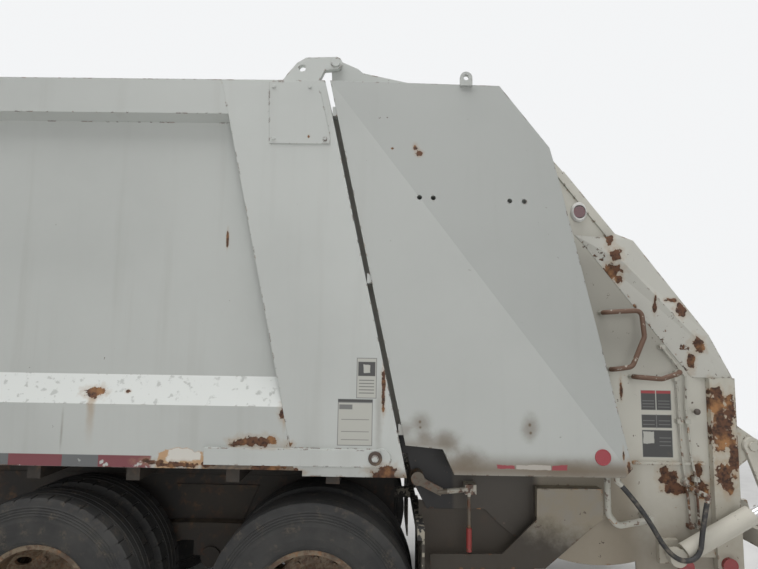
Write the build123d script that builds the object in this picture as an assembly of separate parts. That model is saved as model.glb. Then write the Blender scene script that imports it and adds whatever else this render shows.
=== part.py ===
from build123d import *
import os
from math import cos, hypot, pi, radians, sin

# A three-axle rear-loading refuse truck: cab-over chassis, welded load body, and a
# tailgate hung from the body's rear frame that holds the hopper, packer and bin lift.
# Millimetres. +X to the rear, -Y to the truck's left side, +Z up.
# The origin is on the ground, under the middle of the truck.

# Overall layout, along the truck
LENGTH = 9200.0
FRONT_X = -LENGTH / 2
REAR_X = LENGTH / 2
FRONT_OVERHANG = 1450.0
REAR_OVERHANG = 2460.0
TANDEM_SPACING = 1380.0
FRONT_AXLE_X = FRONT_X + FRONT_OVERHANG
REAR_AXLE_X = REAR_X - REAR_OVERHANG
MID_AXLE_X = REAR_AXLE_X - TANDEM_SPACING
BOGIE_X = (MID_AXLE_X + REAR_AXLE_X) / 2
HALF_WIDTH = 1220.0
RUN = 0.08          # radial running clearance of a shaft in its bore
SEAT = 0.3          # gap between faces that bear on each other but move

# Wheels and tyres
TYRE_R = 535.0
TYRE_WIDTH = 280.0
TREAD_WIDTH = 236.0
TREAD_CROWN = 7.0
RIM_WIDTH = 222.0
RIM_SEAT_R = 286.0
RIM_FLANGE_R = 299.0
RIM_WALL = 10.0
DISC_OFFSET = 167.5
DISC_WALL = 14.0
HUB_R = 141.0
HUB_CAP_R = 95.0
HAND_HOLES = 10
HAND_HOLE_R = 27.0
STUD_CIRCLE_R = 167.5
STUDS = 10
STUD_R = 13.0
STUD_LENGTH = 30.0
SPINDLE_R = 45.0
DRUM_R = 208.0
DRUM_WALL = 16.0
FRONT_TYRE_Y = 1000.0
FRONT_CAP_LENGTH = 68.0
REAR_CAP_LENGTH = 125.0
OUTER_TYRE_Y = HALF_WIDTH - TYRE_WIDTH / 2
INNER_TYRE_Y = OUTER_TYRE_Y - 2 * DISC_OFFSET

# Chassis frame
RAIL_TOP = 1020.0
RAIL_HEIGHT = 280.0
RAIL_OUT_Y = 430.0
RAIL_FLANGE = 80.0
RAIL_WALL = 9.0
RAIL_FRONT_X = FRONT_X + 130.0
RAIL_REAR_X = REAR_AXLE_X + 430.0
CROSS_TUBE_R = 55.0

# Front axle and steering
KINGPIN_Y = 840.0
KINGPIN_R = 25.0
KINGPIN_BOSS_R = 52.0
KINGPIN_BOSS_H = 150.0
BEAM_DROP = 105.0
BEAM_HEIGHT = 95.0
BEAM_WIDTH = 90.0
STEER_ARM = 200.0
STEER_ARM_IN = 70.0
STEER_ARM_THICK = 28.0
TIE_ROD_R = 20.0

# Cab
CAB_FRONT_X = FRONT_X + 60.0
CAB_LENGTH = 1690.0
CAB_REAR_X = CAB_FRONT_X + CAB_LENGTH
CAB_HALF_WIDTH = 1190.0
CAB_LOW_Z = 780.0
CAB_SILL_Z = 1215.0
CAB_ROOF_Z = 2860.0
CAB_WALL = 42.0
WAIST_Z = 1600.0
ARCH_R = 655.0
DOOR_FRONT_X = FRONT_X + 270.0
DOOR_LENGTH = 950.0
DOOR_GAP = 8.0
TILT_X = FRONT_X + 105.0
TILT_Z = 715.0
TILT_PIN_R = 22.0
TILT_BOSS_R = 38.0
TILT_LUG = 36.0

# Load body
BODY_FRONT_X = CAB_REAR_X + 370.0
BODY_FLOOR_Z = 1226.0
BODY_TOP_Z = 3280.0
WALL_Y = 1150.0
WALL_THICK = 30.0
TOP_RAIL_LOW_Z = 3086.0
TOP_RAIL_ROOT_Z = 3062.0
BEVEL_TOP_Z = 1685.0
BEVEL_LOW_Z = 1538.0
RAKE = 0.2235       # rearward run of the rear frame for each millimetre down

# Rear frame of the body: a raked band on each side
BAND_TOP_X = REAR_AXLE_X - 551.0
BAND_WIDTH = 561.0
TAILGATE_GAP = 27.0

# Tailgate hinge
HINGE_X = REAR_AXLE_X + 61.0
HINGE_Z = 3405.0
HINGE_PIN_R = 24.0
HINGE_BOSS_R = 36.0
EAR_Y = 1120.0
EAR_THICK = 34.0

# Tailgate and hopper
HOPPER_Y = 1020.0
HOPPER_PLATE = 26.0
FLOOR_R = 780.0
FLOOR_WALL = 12.0
FLOOR_X = REAR_AXLE_X + 1500.0
FLOOR_Z = 1520.0
POST_X = REAR_AXLE_X + 2096.0
POST_WIDTH = 134.0
POST_TOP_Z = 1711.0
POST_LOW_Z = 440.0
POST_OUT_Y = 1060.0

# Packer: a carriage on raked tracks with a swinging blade at its low end
TRACK_ANGLE = 52.1
TRACK_TRAVEL = 1050.0
BLADE_PIVOT_X = FLOOR_X - TRACK_TRAVEL * cos(radians(TRACK_ANGLE))
BLADE_PIVOT_Z = FLOOR_Z + TRACK_TRAVEL * sin(radians(TRACK_ANGLE))
BLADE_REACH = 735.0
BLADE_REST_ANGLE = -118.0
BLADE_PIVOT_R = 45.0

# Bin lift: a comb frame on the sill, raised by a cylinder on each side
LIFT_X = REAR_AXLE_X + 2300.0
LIFT_Z = 1360.0
LIFT_EYE_DX = 100.0
LIFT_EYE_DZ = -240.0
LIFT_BASE_X = REAR_AXLE_X + 1850.0
LIFT_BASE_Z = 815.0
LIFT_CYL_Y = 1130.0
LIFT_BARREL_R = 48.0
LIFT_ROD_R = 24.0
LIFT_BARREL_LENGTH = 440.0

SIDES = (("left", -1), ("right", 1))


def block(x0, x1, y0, y1, z0, z1):
    """A box between two corners, given in any order."""
    middle = ((x0 + x1) / 2, (y0 + y1) / 2, (z0 + z1) / 2)
    return Pos(*middle) * Box(abs(x1 - x0), abs(y1 - y0), abs(z1 - z0))


def side_plate(points, y0, y1):
    """A plate cut to a side-view outline of (x, z) points, from y0 to y1."""
    low, high = min(y0, y1), max(y0, y1)
    wire = Wire.make_polygon([Vector(x, low, z) for x, z in points])
    return extrude(Face(wire), amount=high - low, dir=(0, 1, 0))


def rolled_section(points, x0, x1):
    """A section of (y, z) points run along the truck from x0 to x1."""
    wire = Wire.make_polygon([Vector(x0, y, z) for y, z in points])
    return extrude(Face(wire), amount=x1 - x0, dir=(1, 0, 0))


def rod(start, end, radius):
    """A round bar between two points."""
    direction = Vector(*end) - Vector(*start)
    plane = Plane(origin=start, z_dir=direction)
    return plane * Cylinder(radius, direction.length, align=(Align.CENTER, Align.CENTER, Align.MIN))


def cross_bar(x, z, radius, y0, y1):
    """A round bar across the truck."""
    low, high = min(y0, y1), max(y0, y1)
    return rod((x, low, z), (x, high, z), radius)


def turned(points, x, y, z):
    """A part turned about the cross axis through (x, y, z), from (y offset, radius) points.

    The outline is drawn below the axis, so that the seam is at the bottom.
    """
    wire = Wire.make_polygon([Vector(x, y + offset, z - radius) for offset, radius in points])
    return revolve(Face(wire), axis=Axis((x, y, z), (0, 1, 0)))


def bent_tube(points, radius, bend):
    """A tube along straight runs joined by round bends, of one radius or of one for each."""
    path = FilletPolyline(*points, radius=bend)
    start = path.position_at(0)
    section = Plane(origin=start, z_dir=path.tangent_at(0)) * Circle(radius)
    return sweep(section, path=path)


def both_sides(make):
    """The solid that make(side) builds, on the left and on the right."""
    return [make(-1), make(1)]


def raked_x(z, top_x):
    """The x of a line with the rear frame's rake, at height z."""
    return top_x + (BODY_TOP_Z - z) * RAKE


nodes = {}


def keep(name, *solids):
    """Name the solids of one sub-part."""
    shapes = []
    for solid in solids:
        shapes.extend(solid.solids())
    nodes[name] = Compound(label=name, children=shapes) if len(shapes) > 1 else shapes[0]


def fused(first, *others):
    """One solid from pieces that are welded together."""
    whole = first
    for other in others:
        whole = whole + other
    return whole


# Wheels: (name, x, tyre centre lines)
AXLES = (
    ("front", FRONT_AXLE_X, (FRONT_TYRE_Y,)),
    ("middle", MID_AXLE_X, (OUTER_TYRE_Y, INNER_TYRE_Y)),
    ("rear", REAR_AXLE_X, (OUTER_TYRE_Y, INNER_TYRE_Y)),
)


def tyre(x, y):
    """A radial truck tyre, as a solid ring on its rim."""
    half = TYRE_WIDTH / 2
    half_tread = TREAD_WIDTH / 2
    half_bead = RIM_WIDTH / 2 - RIM_WALL
    shoulder_r = TYRE_R - TREAD_CROWN
    side_r = (TYRE_R + RIM_SEAT_R) / 2
    lines = []
    crown = [(half_tread, shoulder_r), (0, TYRE_R), (-half_tread, shoulder_r)]

    def at(point):
        return Vector(x, y + point[0], TYRE_R - point[1])

    lines.append(Edge.make_three_point_arc(at(crown[0]), at(crown[1]), at(crown[2])))
    for sign in (-1, 1):
        upper = (sign * half_tread, shoulder_r)
        bulge = (sign * half, side_r + 10)
        heel = (sign * RIM_WIDTH / 2, RIM_FLANGE_R + SEAT)
        bead = (sign * half_bead, RIM_FLANGE_R + SEAT)
        lines.append(Edge.make_three_point_arc(at(upper), at(bulge), at(heel)))
        lines.append(Edge.make_line(at(heel), at(bead)))
        lines.append(Edge.make_line(at(bead), at((sign * half_bead, RIM_SEAT_R))))
    lines.append(Edge.make_line(at((-half_bead, RIM_SEAT_R)), at((half_bead, RIM_SEAT_R))))
    face = Face(Wire(lines))
    return revolve(face, axis=Axis((x, y, TYRE_R), (0, 1, 0)))


def rim(x, y, toward):
    """A steel disc wheel. Its mounting face is DISC_OFFSET along Y from its centre."""
    half = RIM_WIDTH / 2
    barrel = turned(
        [(-half, RIM_FLANGE_R), (-half + RIM_WALL, RIM_FLANGE_R), (-half + RIM_WALL, RIM_SEAT_R),
         (half - RIM_WALL, RIM_SEAT_R), (half - RIM_WALL, RIM_FLANGE_R), (half, RIM_FLANGE_R),
         (half, RIM_SEAT_R - RIM_WALL), (-half, RIM_SEAT_R - RIM_WALL)], x, y, TYRE_R)
    inner_r = RIM_SEAT_R - RIM_WALL
    face = toward * DISC_OFFSET
    back = toward * (DISC_OFFSET - DISC_WALL)
    start = toward * (half - 60.0)
    disc = turned(
        [(start, inner_r + 1), (back, 205.0), (back, HUB_R), (face, HUB_R), (face, 213.0),
         (start + toward * DISC_WALL * 1.6, inner_r + 1)], x, y, TYRE_R)
    for step in range(HAND_HOLES):
        angle = 2 * pi * step / HAND_HOLES
        hole_r = 238.0
        centre = (x + hole_r * cos(angle), TYRE_R + hole_r * sin(angle))
        low, high = y + min(start, face) - 40, y + max(start, face) + 40
        disc = disc - cross_bar(centre[0], centre[1], HAND_HOLE_R, low, high)
    return barrel + disc


def wheel_hub(face_y, inner_y, cap_length):
    """The hub with its drum, studs and cap, turned on the spindle's axis."""
    cap_y = face_y + cap_length
    hub = turned([(face_y - 60, 0.0), (face_y - 60, HUB_R + 55), (face_y - DISC_WALL, HUB_R + 55),
                  (face_y - DISC_WALL, HUB_R), (face_y + DISC_WALL, HUB_R), (face_y + 40, HUB_CAP_R),
                  (cap_y, HUB_CAP_R - 10), (cap_y, 0.0)], 0, 0, 0)
    drum = turned([(inner_y, DRUM_R), (face_y - 50, DRUM_R), (face_y - 50, 0.0), (face_y - 60 - DRUM_WALL, 0.0),
                   (face_y - 60 - DRUM_WALL, DRUM_R - DRUM_WALL), (inner_y, DRUM_R - DRUM_WALL)], 0, 0, 0)
    whole = hub + drum
    for step in range(STUDS):
        angle = 2 * pi * (step + 0.5) / STUDS
        sx, sz = STUD_CIRCLE_R * cos(angle), STUD_CIRCLE_R * sin(angle)
        whole = whole + cross_bar(sx, sz, STUD_R, face_y - 20, face_y + STUD_LENGTH)
    whole = whole - cross_bar(0, 0, SPINDLE_R + RUN, face_y - 90, face_y + 30)
    return Pos(0, 0, TYRE_R) * mirror(whole, about=Plane.XZ)


def wheel_set(centres):
    """The left wheel of an axle at x = 0: its tyres, and its rims on their hub."""
    tyres = [tyre(0, -centre) for centre in centres]
    if len(centres) == 1:
        face_y = centres[0] + DISC_OFFSET
        wheel = rim(0, -centres[0], -1)
        hub = wheel_hub(face_y, KINGPIN_Y + 85, FRONT_CAP_LENGTH)
    else:
        face_y = (centres[0] + centres[1]) / 2
        wheel = rim(0, -centres[0], 1) + rim(0, -centres[1], -1)
        hub = wheel_hub(face_y, centres[1] - 90, REAR_CAP_LENGTH)
    return Compound(children=tyres), wheel + hub


wheel_sets = {len(centres): wheel_set(centres) for _, _, centres in AXLES}
for axle, axle_x, centres in AXLES:
    tyres, wheel = wheel_sets[len(centres)]
    keep(f"tyre_{axle}_left", Pos(axle_x, 0, 0) * tyres)
    keep(f"rim_{axle}_left", Pos(axle_x, 0, 0) * wheel)
    keep(f"tyre_{axle}_right", Pos(axle_x, 0, 0) * mirror(tyres, about=Plane.XZ))
    keep(f"rim_{axle}_right", Pos(axle_x, 0, 0) * mirror(wheel, about=Plane.XZ))


# Chassis frame: two rolled channels and their cross members
def frame_rail(side):
    outer = side * RAIL_OUT_Y
    inner = side * (RAIL_OUT_Y - RAIL_FLANGE)
    web = side * (RAIL_OUT_Y - RAIL_WALL)
    low = RAIL_TOP - RAIL_HEIGHT
    points = [(outer, low), (outer, RAIL_TOP), (inner, RAIL_TOP), (inner, RAIL_TOP - RAIL_WALL),
              (web, RAIL_TOP - RAIL_WALL), (web, low + RAIL_WALL), (inner, low + RAIL_WALL), (inner, low)]
    return rolled_section(points, RAIL_FRONT_X, RAIL_REAR_X)


CROSS_MEMBERS_X = (RAIL_FRONT_X + 60, CAB_REAR_X + 950, MID_AXLE_X - 900, BOGIE_X, RAIL_REAR_X - 60)
cross_z = RAIL_TOP - 105
cross_reach = RAIL_OUT_Y - RAIL_WALL - SEAT
cross_members = []
for cross_x in CROSS_MEMBERS_X:
    cross_members.append(cross_bar(cross_x, cross_z, CROSS_TUBE_R, -cross_reach, cross_reach))

# Front bumper: a pressed steel beam that turns in round the corners, on two arms
BUMPER_LOW_Z = 375.0
BUMPER_TOP_Z = TILT_Z - 5.0
BUMPER_DEPTH = 190.0
BUMPER_WALL = 40.0
TOW_PIN_R = 20.0
TOW_EYE_Y = 380.0
TOW_EYE_Z = 560.0
bumper = block(FRONT_X, FRONT_X + BUMPER_DEPTH, -HALF_WIDTH + 20, HALF_WIDTH - 20, BUMPER_LOW_Z, BUMPER_TOP_Z)
bumper = fillet(bumper.edges().filter_by(Axis.Z).group_by(Axis.X)[0], 110.0)
bumper_inner = block(FRONT_X + BUMPER_WALL, REAR_X, -HALF_WIDTH + 60, HALF_WIDTH - 60,
                     BUMPER_LOW_Z - 10, BUMPER_TOP_Z + 10)
bumper_inner = fillet(bumper_inner.edges().filter_by(Axis.Z).group_by(Axis.X)[0], 75.0)
bumper = bumper - bumper_inner
for side_name, side in SIDES:
    bumper = bumper - block(FRONT_X - 10, FRONT_X + 100, side * 640, side * 1010, 450, 640)
    bumper = bumper - block(FRONT_X - 10, FRONT_X + 100, side * (TOW_EYE_Y - 65), side * (TOW_EYE_Y + 65),
                            TOW_EYE_Z - 75, TOW_EYE_Z + 75)
    arm_y = RAIL_OUT_Y - 40
    bumper = bumper + block(FRONT_X + 30, RAIL_FRONT_X, side * (arm_y + 45), side * (arm_y + 70), 500, 700)
    hanger_in, hanger_out = side * (RAIL_OUT_Y + SEAT), side * (RAIL_OUT_Y + 30)
    bumper = bumper + block(FRONT_X + 30, RAIL_FRONT_X + 160, hanger_in, hanger_out, 500, TILT_Z - 5)
    bumper = bumper + block(RAIL_FRONT_X + 20, RAIL_FRONT_X + 160, hanger_in, hanger_out, 500, 900)
    pin_in, pin_out = side * (RAIL_OUT_Y + SEAT), side * (RAIL_OUT_Y + 30 + SEAT + TILT_LUG)
    bumper = bumper + cross_bar(TILT_X, TILT_Z, TILT_BOSS_R, hanger_in, hanger_out)
    bumper = bumper + cross_bar(TILT_X, TILT_Z, TILT_PIN_R, pin_in, pin_out)
keep("front_bumper", bumper)

# Front axle: a forged beam that drops between its kingpin bosses
BOSS_GAP = 2.0
beam_z = TYRE_R - BEAM_DROP
beam_points = [
    (-KINGPIN_Y, TYRE_R - 45), (-KINGPIN_Y + 70, TYRE_R - 45), (-KINGPIN_Y + 240, beam_z - BEAM_HEIGHT / 2),
    (KINGPIN_Y - 240, beam_z - BEAM_HEIGHT / 2), (KINGPIN_Y - 70, TYRE_R - 45), (KINGPIN_Y, TYRE_R - 45),
    (KINGPIN_Y, TYRE_R + 45), (KINGPIN_Y - 110, TYRE_R + 45), (KINGPIN_Y - 290, beam_z + BEAM_HEIGHT / 2),
    (-KINGPIN_Y + 290, beam_z + BEAM_HEIGHT / 2), (-KINGPIN_Y + 110, TYRE_R + 45), (-KINGPIN_Y, TYRE_R + 45)]
front_axle = rolled_section(beam_points, FRONT_AXLE_X - BEAM_WIDTH / 2, FRONT_AXLE_X + BEAM_WIDTH / 2)
SPRING_Y = 415.0
SPRING_WIDTH = 80.0
PAD_Z = beam_z + BEAM_HEIGHT / 2
for side_name, side in SIDES:
    low, high = TYRE_R - KINGPIN_BOSS_H / 2, TYRE_R + KINGPIN_BOSS_H / 2
    axis_x, axis_y = FRONT_AXLE_X, side * KINGPIN_Y
    front_axle = front_axle + rod((axis_x, axis_y, low), (axis_x, axis_y, high), KINGPIN_BOSS_R)
    front_axle = front_axle + block(axis_x - 70, axis_x + 70, side * (SPRING_Y - 55), side * (SPRING_Y + 55),
                                    PAD_Z - 30, PAD_Z)
    front_axle = front_axle - rod((axis_x, axis_y, low - 5), (axis_x, axis_y, high + 5), KINGPIN_R + RUN)
keep("front_axle", front_axle)


# Front springs: two long leaves from a fixed eye to a shackle, clamped on the beam
def leaf_pack(x, y, width, half_length, low_z, leaves, rise, inverted):
    """Leaves bent to a shallow arc. rise is how far the ends stand off the middle."""
    pack = None
    leaf = 17.0
    for count in range(leaves):
        reach = half_length * (1 - 0.8 * count / max(leaves, 1)) if leaves > 2 else half_length
        turn = -1 if inverted else 1
        middle = low_z + (leaf * count if inverted else leaf * (leaves - 1 - count))
        end = middle + turn * rise * (reach / half_length) ** 2
        face_points = (Vector(x - reach, y - width / 2, end), Vector(x, y - width / 2, middle),
                       Vector(x + reach, y - width / 2, end))
        lower = Edge.make_three_point_arc(*face_points)
        upper = Edge.make_three_point_arc(*[point + Vector(0, 0, leaf) for point in face_points])
        ends = [Edge.make_line(face_points[0], face_points[0] + Vector(0, 0, leaf)),
                Edge.make_line(face_points[2], face_points[2] + Vector(0, 0, leaf))]
        strip = extrude(Face(Wire([lower, upper, *ends])), amount=width, dir=(0, 1, 0))
        pack = strip if pack is None else pack + strip
    return pack


FRONT_SPRING_HALF = 800.0
FRONT_SPRING_RISE = 120.0
SPRING_EYE_R = 32.0


def front_spring(side):
    y = side * SPRING_Y
    pack = leaf_pack(FRONT_AXLE_X, y, SPRING_WIDTH, FRONT_SPRING_HALF, PAD_Z + SEAT, 2, FRONT_SPRING_RISE, False)
    eye_z = PAD_Z + FRONT_SPRING_RISE + 26
    low_y, high_y = y - SPRING_WIDTH / 2, y + SPRING_WIDTH / 2
    for end in (-1, 1):
        eye_x = FRONT_AXLE_X + end * FRONT_SPRING_HALF
        pack = pack + cross_bar(eye_x, eye_z, SPRING_EYE_R, low_y, high_y)
        bracket_points = [(eye_x - 35, eye_z - 20), (eye_x + 35, eye_z - 20), (eye_x + 80, RAIL_TOP - RAIL_HEIGHT),
                          (eye_x - 80, RAIL_TOP - RAIL_HEIGHT)]
        pack = pack + side_plate(bracket_points, low_y, high_y)
    clamp = block(FRONT_AXLE_X - 75, FRONT_AXLE_X + 75, low_y, high_y, PAD_Z + SEAT, PAD_Z + 60)
    return pack + clamp


front_springs = both_sides(front_spring)


# Steering knuckles: a yoke on the kingpin, the wheel's spindle, and the steering arm
def knuckle(side):
    x, y = FRONT_AXLE_X, side * KINGPIN_Y
    low, high = TYRE_R - KINGPIN_BOSS_H / 2, TYRE_R + KINGPIN_BOSS_H / 2
    ear = 34.0
    pin = rod((x, y, low - ear), (x, y, high + ear), KINGPIN_R)
    body = pin
    back_y = side * (KINGPIN_Y + KINGPIN_BOSS_R + 10)
    face_y = side * (KINGPIN_Y + KINGPIN_BOSS_R + 55)
    for ear_low in (low - BOSS_GAP - ear, high + BOSS_GAP):
        body = body + rod((x, y, ear_low), (x, y, ear_low + ear), KINGPIN_BOSS_R - 4)
        body = body + block(x - 48, x + 48, y, face_y, ear_low, ear_low + ear)
    body = body + block(x - 62, x + 62, back_y, face_y, low - BOSS_GAP - ear, high + BOSS_GAP + ear)
    end_y = side * (FRONT_TYRE_Y + DISC_OFFSET + 25)
    body = body + cross_bar(x, TYRE_R, SPINDLE_R, face_y, end_y)
    arm_top = low - BOSS_GAP - ear
    eye_y = y - side * STEER_ARM_IN
    arm_points = [(x, y - 45), (x, y + 45), (x + STEER_ARM, eye_y + 28), (x + STEER_ARM, eye_y - 28)]
    wire = Wire.make_polygon([Vector(px, py, arm_top - STEER_ARM_THICK) for px, py in arm_points])
    arm = extrude(Face(wire), amount=STEER_ARM_THICK, dir=(0, 0, 1))
    eye = rod((x + STEER_ARM, eye_y, arm_top - STEER_ARM_THICK), (x + STEER_ARM, eye_y, arm_top), 32.0)
    foot = rod((x, y, arm_top - STEER_ARM_THICK), (x, y, arm_top), KINGPIN_BOSS_R - 4)
    return fused(body, arm, eye, foot)


for side_name, side in SIDES:
    keep(f"knuckle_{side_name}", knuckle(side))

# Tie rod: it joins the two steering arms from below
tie_top = TYRE_R - KINGPIN_BOSS_H / 2 - BOSS_GAP - 34.0 - STEER_ARM_THICK - SEAT
tie_x = FRONT_AXLE_X + STEER_ARM
tie_y = KINGPIN_Y - STEER_ARM_IN
tie_rod = cross_bar(tie_x, tie_top - 22, TIE_ROD_R, -tie_y, tie_y)
for side_name, side in SIDES:
    tie_rod = tie_rod + rod((tie_x, side * tie_y, tie_top - 44), (tie_x, side * tie_y, tie_top), 30.0)
keep("tie_rod", tie_rod)

# Rear axles: a banjo housing, its tubes and a spindle at each end
BANJO_R = 225.0
BANJO_HALF = 110.0
AXLE_TUBE_R = 72.0


def drive_axle(x):
    tube_end = INNER_TYRE_Y - 75.0
    spindle_end = (OUTER_TYRE_Y + INNER_TYRE_Y) / 2 + 20
    body = cross_bar(x, TYRE_R, AXLE_TUBE_R, -tube_end, tube_end)
    body = body + cross_bar(x, TYRE_R, SPINDLE_R, -spindle_end, spindle_end)
    banjo = rod((x - BANJO_HALF, 0, TYRE_R), (x + BANJO_HALF, 0, TYRE_R), BANJO_R)
    banjo = chamfer(banjo.edges().filter_by(GeomType.CIRCLE), 40.0)
    nose = rod((x - BANJO_HALF - 130, 0, TYRE_R), (x, 0, TYRE_R), 85.0)
    tail = rod((x, 0, TYRE_R), (x + BANJO_HALF + 60, 0, TYRE_R), 60.0)
    taper = []
    for side in (-1, 1):
        cone = Plane(origin=(x, side * 190, TYRE_R), z_dir=(0, side, 0))
        taper.append(cone * Cone(115.0, AXLE_TUBE_R, 150.0, align=(Align.CENTER, Align.CENTER, Align.MIN)))
    return fused(body, banjo, nose, tail, *taper)


keep("rear_axles", drive_axle(MID_AXLE_X), drive_axle(REAR_AXLE_X))

# Bogie springs: an inverted leaf pack on each side, rocking on a trunnion bracket
BOGIE_SPRING_Y = 488.0
BOGIE_SPRING_WIDTH = 88.0
BOGIE_LEAVES = 6


def bogie_spring(side):
    y = side * BOGIE_SPRING_Y
    low_z = TYRE_R + AXLE_TUBE_R + 45
    half = TANDEM_SPACING / 2 + 70
    pack = leaf_pack(BOGIE_X, y, BOGIE_SPRING_WIDTH, half, low_z, BOGIE_LEAVES, 40.0, True)
    low_y, high_y = y - BOGIE_SPRING_WIDTH / 2, y + BOGIE_SPRING_WIDTH / 2
    for axle_x in (MID_AXLE_X, REAR_AXLE_X):
        saddle = block(axle_x - 70, axle_x + 70, low_y, high_y, TYRE_R + 20, low_z - 8)
        pack = pack + (saddle - cross_bar(axle_x, TYRE_R, AXLE_TUBE_R + SEAT, low_y - 5, high_y + 5))
    saddle = block(BOGIE_X - 110, BOGIE_X + 110, low_y, high_y, low_z - 90, low_z + 5)
    bracket_points = [(BOGIE_X - 60, low_z - 150), (BOGIE_X + 60, low_z - 150),
                      (BOGIE_X + 260, RAIL_TOP - 60), (BOGIE_X - 260, RAIL_TOP - 60)]
    rail_face = side * (RAIL_OUT_Y + SEAT)
    bracket = side_plate(bracket_points, rail_face, side * (BOGIE_SPRING_Y - BOGIE_SPRING_WIDTH / 2))
    trunnion = cross_bar(BOGIE_X, low_z - 95, 60.0, rail_face, side * (BOGIE_SPRING_Y + 60))
    return fused(pack, saddle, bracket, trunnion)


keep("leaf_springs", *front_springs, *both_sides(bogie_spring))

# Engine, one plain block, with its radiator ahead and the gearbox and propeller shaft behind
ENGINE_FRONT_X = FRONT_X + 470.0
ENGINE_REAR_X = CAB_REAR_X - 130.0
GEARBOX_REAR_X = ENGINE_REAR_X + 760.0
SHAFT_Z = 800.0
engine = block(ENGINE_FRONT_X, ENGINE_REAR_X, -320, 320, 620, 1130)
gearbox = block(ENGINE_REAR_X + SEAT, GEARBOX_REAR_X, -210, 210, 660, 1000)
gearbox = fillet(gearbox.edges().filter_by(Axis.X), 60.0)
shaft_start = GEARBOX_REAR_X + SEAT
shaft_end = MID_AXLE_X - BANJO_HALF - 130 - 5.5
shaft = rod((shaft_start + 40, 0, SHAFT_Z), (shaft_end, 0, TYRE_R), 52.0)
shaft_joint = rod((shaft_start, 0, SHAFT_Z), (shaft_start + 60, 0, SHAFT_Z), 80.0)
radiator = block(ENGINE_FRONT_X - 110, ENGINE_FRONT_X - SEAT, -340, 340, 640, 1120)
keep("engine_and_driveline", engine, gearbox, fused(shaft, shaft_joint), radiator)

# Fuel tank on the left, with its brackets and straps
TANK_FRONT_X = CAB_REAR_X + 500.0
TANK_LENGTH = 1150.0
TANK_DEPTH = 620.0
tank_in = -(RAIL_OUT_Y + 45)
tank = block(TANK_FRONT_X, TANK_FRONT_X + TANK_LENGTH, tank_in, tank_in - TANK_DEPTH, 430, 1000)
tank = fillet(tank.edges().filter_by(Axis.X), 90.0)
for strap in (0.2, 0.8):
    strap_x = TANK_FRONT_X + TANK_LENGTH * strap
    band = block(strap_x - 30, strap_x + 30, tank_in + 45 - SEAT, tank_in - TANK_DEPTH - 8, 422, 1008)
    band = fillet(band.edges().filter_by(Axis.X).group_by(Axis.Y)[0], 94.0)
    tank = tank + band
tank = tank + rod((TANK_FRONT_X + 260, tank_in - 380, 990), (TANK_FRONT_X + 260, tank_in - 380, 1040), 48.0)

# Air tanks and battery box on the right
AIR_TANK_R = 120.0
box_in = RAIL_OUT_Y + SEAT
air_tanks = block(TANK_FRONT_X + 700, TANK_FRONT_X + 1240, box_in, box_in + 560, 560, 1000)
air_tanks = fillet(air_tanks.edges().filter_by(Axis.X), 25.0)
tank_y = RAIL_OUT_Y + 60 + AIR_TANK_R
for tank_z in (620.0, 880.0):
    can = rod((TANK_FRONT_X + 60, tank_y, tank_z), (TANK_FRONT_X + 660, tank_y, tank_z), AIR_TANK_R)
    can = fillet(can.edges().filter_by(GeomType.CIRCLE), 45.0)
    for hanger_x in (TANK_FRONT_X + 150, TANK_FRONT_X + 530):
        can = can + block(hanger_x, hanger_x + 40, box_in, tank_y, tank_z - 40, tank_z + 40)
        strap_top = max(tank_z + 40, RAIL_TOP - RAIL_HEIGHT + 60)
        can = can + block(hanger_x, hanger_x + 40, box_in, box_in + 20, tank_z - 40, strap_top)
    air_tanks = Compound(children=[*air_tanks.solids(), *can.solids()])
keep("fuel_and_air_tanks", tank, air_tanks)

# Mudguards behind the front wheels, and flaps behind the rear ones
GUARD_R = ARCH_R + 6.0
GUARD_WALL = 8.0


def front_guard(side):
    """The rear quarter of the arch, on a bracket from the frame."""
    y0, y1 = side * (FRONT_TYRE_Y - TYRE_WIDTH / 2 - 70), side * (CAB_HALF_WIDTH - 6)
    ring = cross_bar(FRONT_AXLE_X, TYRE_R, GUARD_R + GUARD_WALL, y0, y1)
    ring = ring - cross_bar(FRONT_AXLE_X, TYRE_R, GUARD_R, y0 - 5 * side, y1 + 5 * side)
    keep_box = block(CAB_REAR_X + 35, CAB_REAR_X + 900, y0, y1, 640, 1300)
    arm_r = GUARD_R + GUARD_WALL + 18
    arm_x, arm_z = FRONT_AXLE_X + arm_r * cos(radians(28)), TYRE_R + arm_r * sin(radians(28))
    return (ring & keep_box) + cross_bar(arm_x, arm_z, 22.0, side * (RAIL_OUT_Y + SEAT), y1 - side * 60)


front_guards = both_sides(front_guard)
FLAP_X = REAR_AXLE_X + TYRE_R + 25.0


def rear_flap(side):
    y0, y1 = side * (INNER_TYRE_Y - TYRE_WIDTH / 2), side * HALF_WIDTH
    flap = block(FLAP_X - 6, FLAP_X + 6, y0, y1, 330, 960)
    hanger = block(FLAP_X - 30, FLAP_X - 6, side * (RAIL_OUT_Y - 60), y1, 900, 960)
    arm = block(RAIL_REAR_X + SEAT, FLAP_X - 29, side * (RAIL_OUT_Y - 40), side * RAIL_OUT_Y, 900, 960)
    return fused(flap, hanger, arm)


keep("mudguards", *front_guards, *both_sides(rear_flap))

# Cab: one welded shell, open below, with its doors, windows and grille cut out
BELT_Z = 1560.0
BROW_Z = 2620.0
SCREEN_LEAN = 95.0


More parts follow.
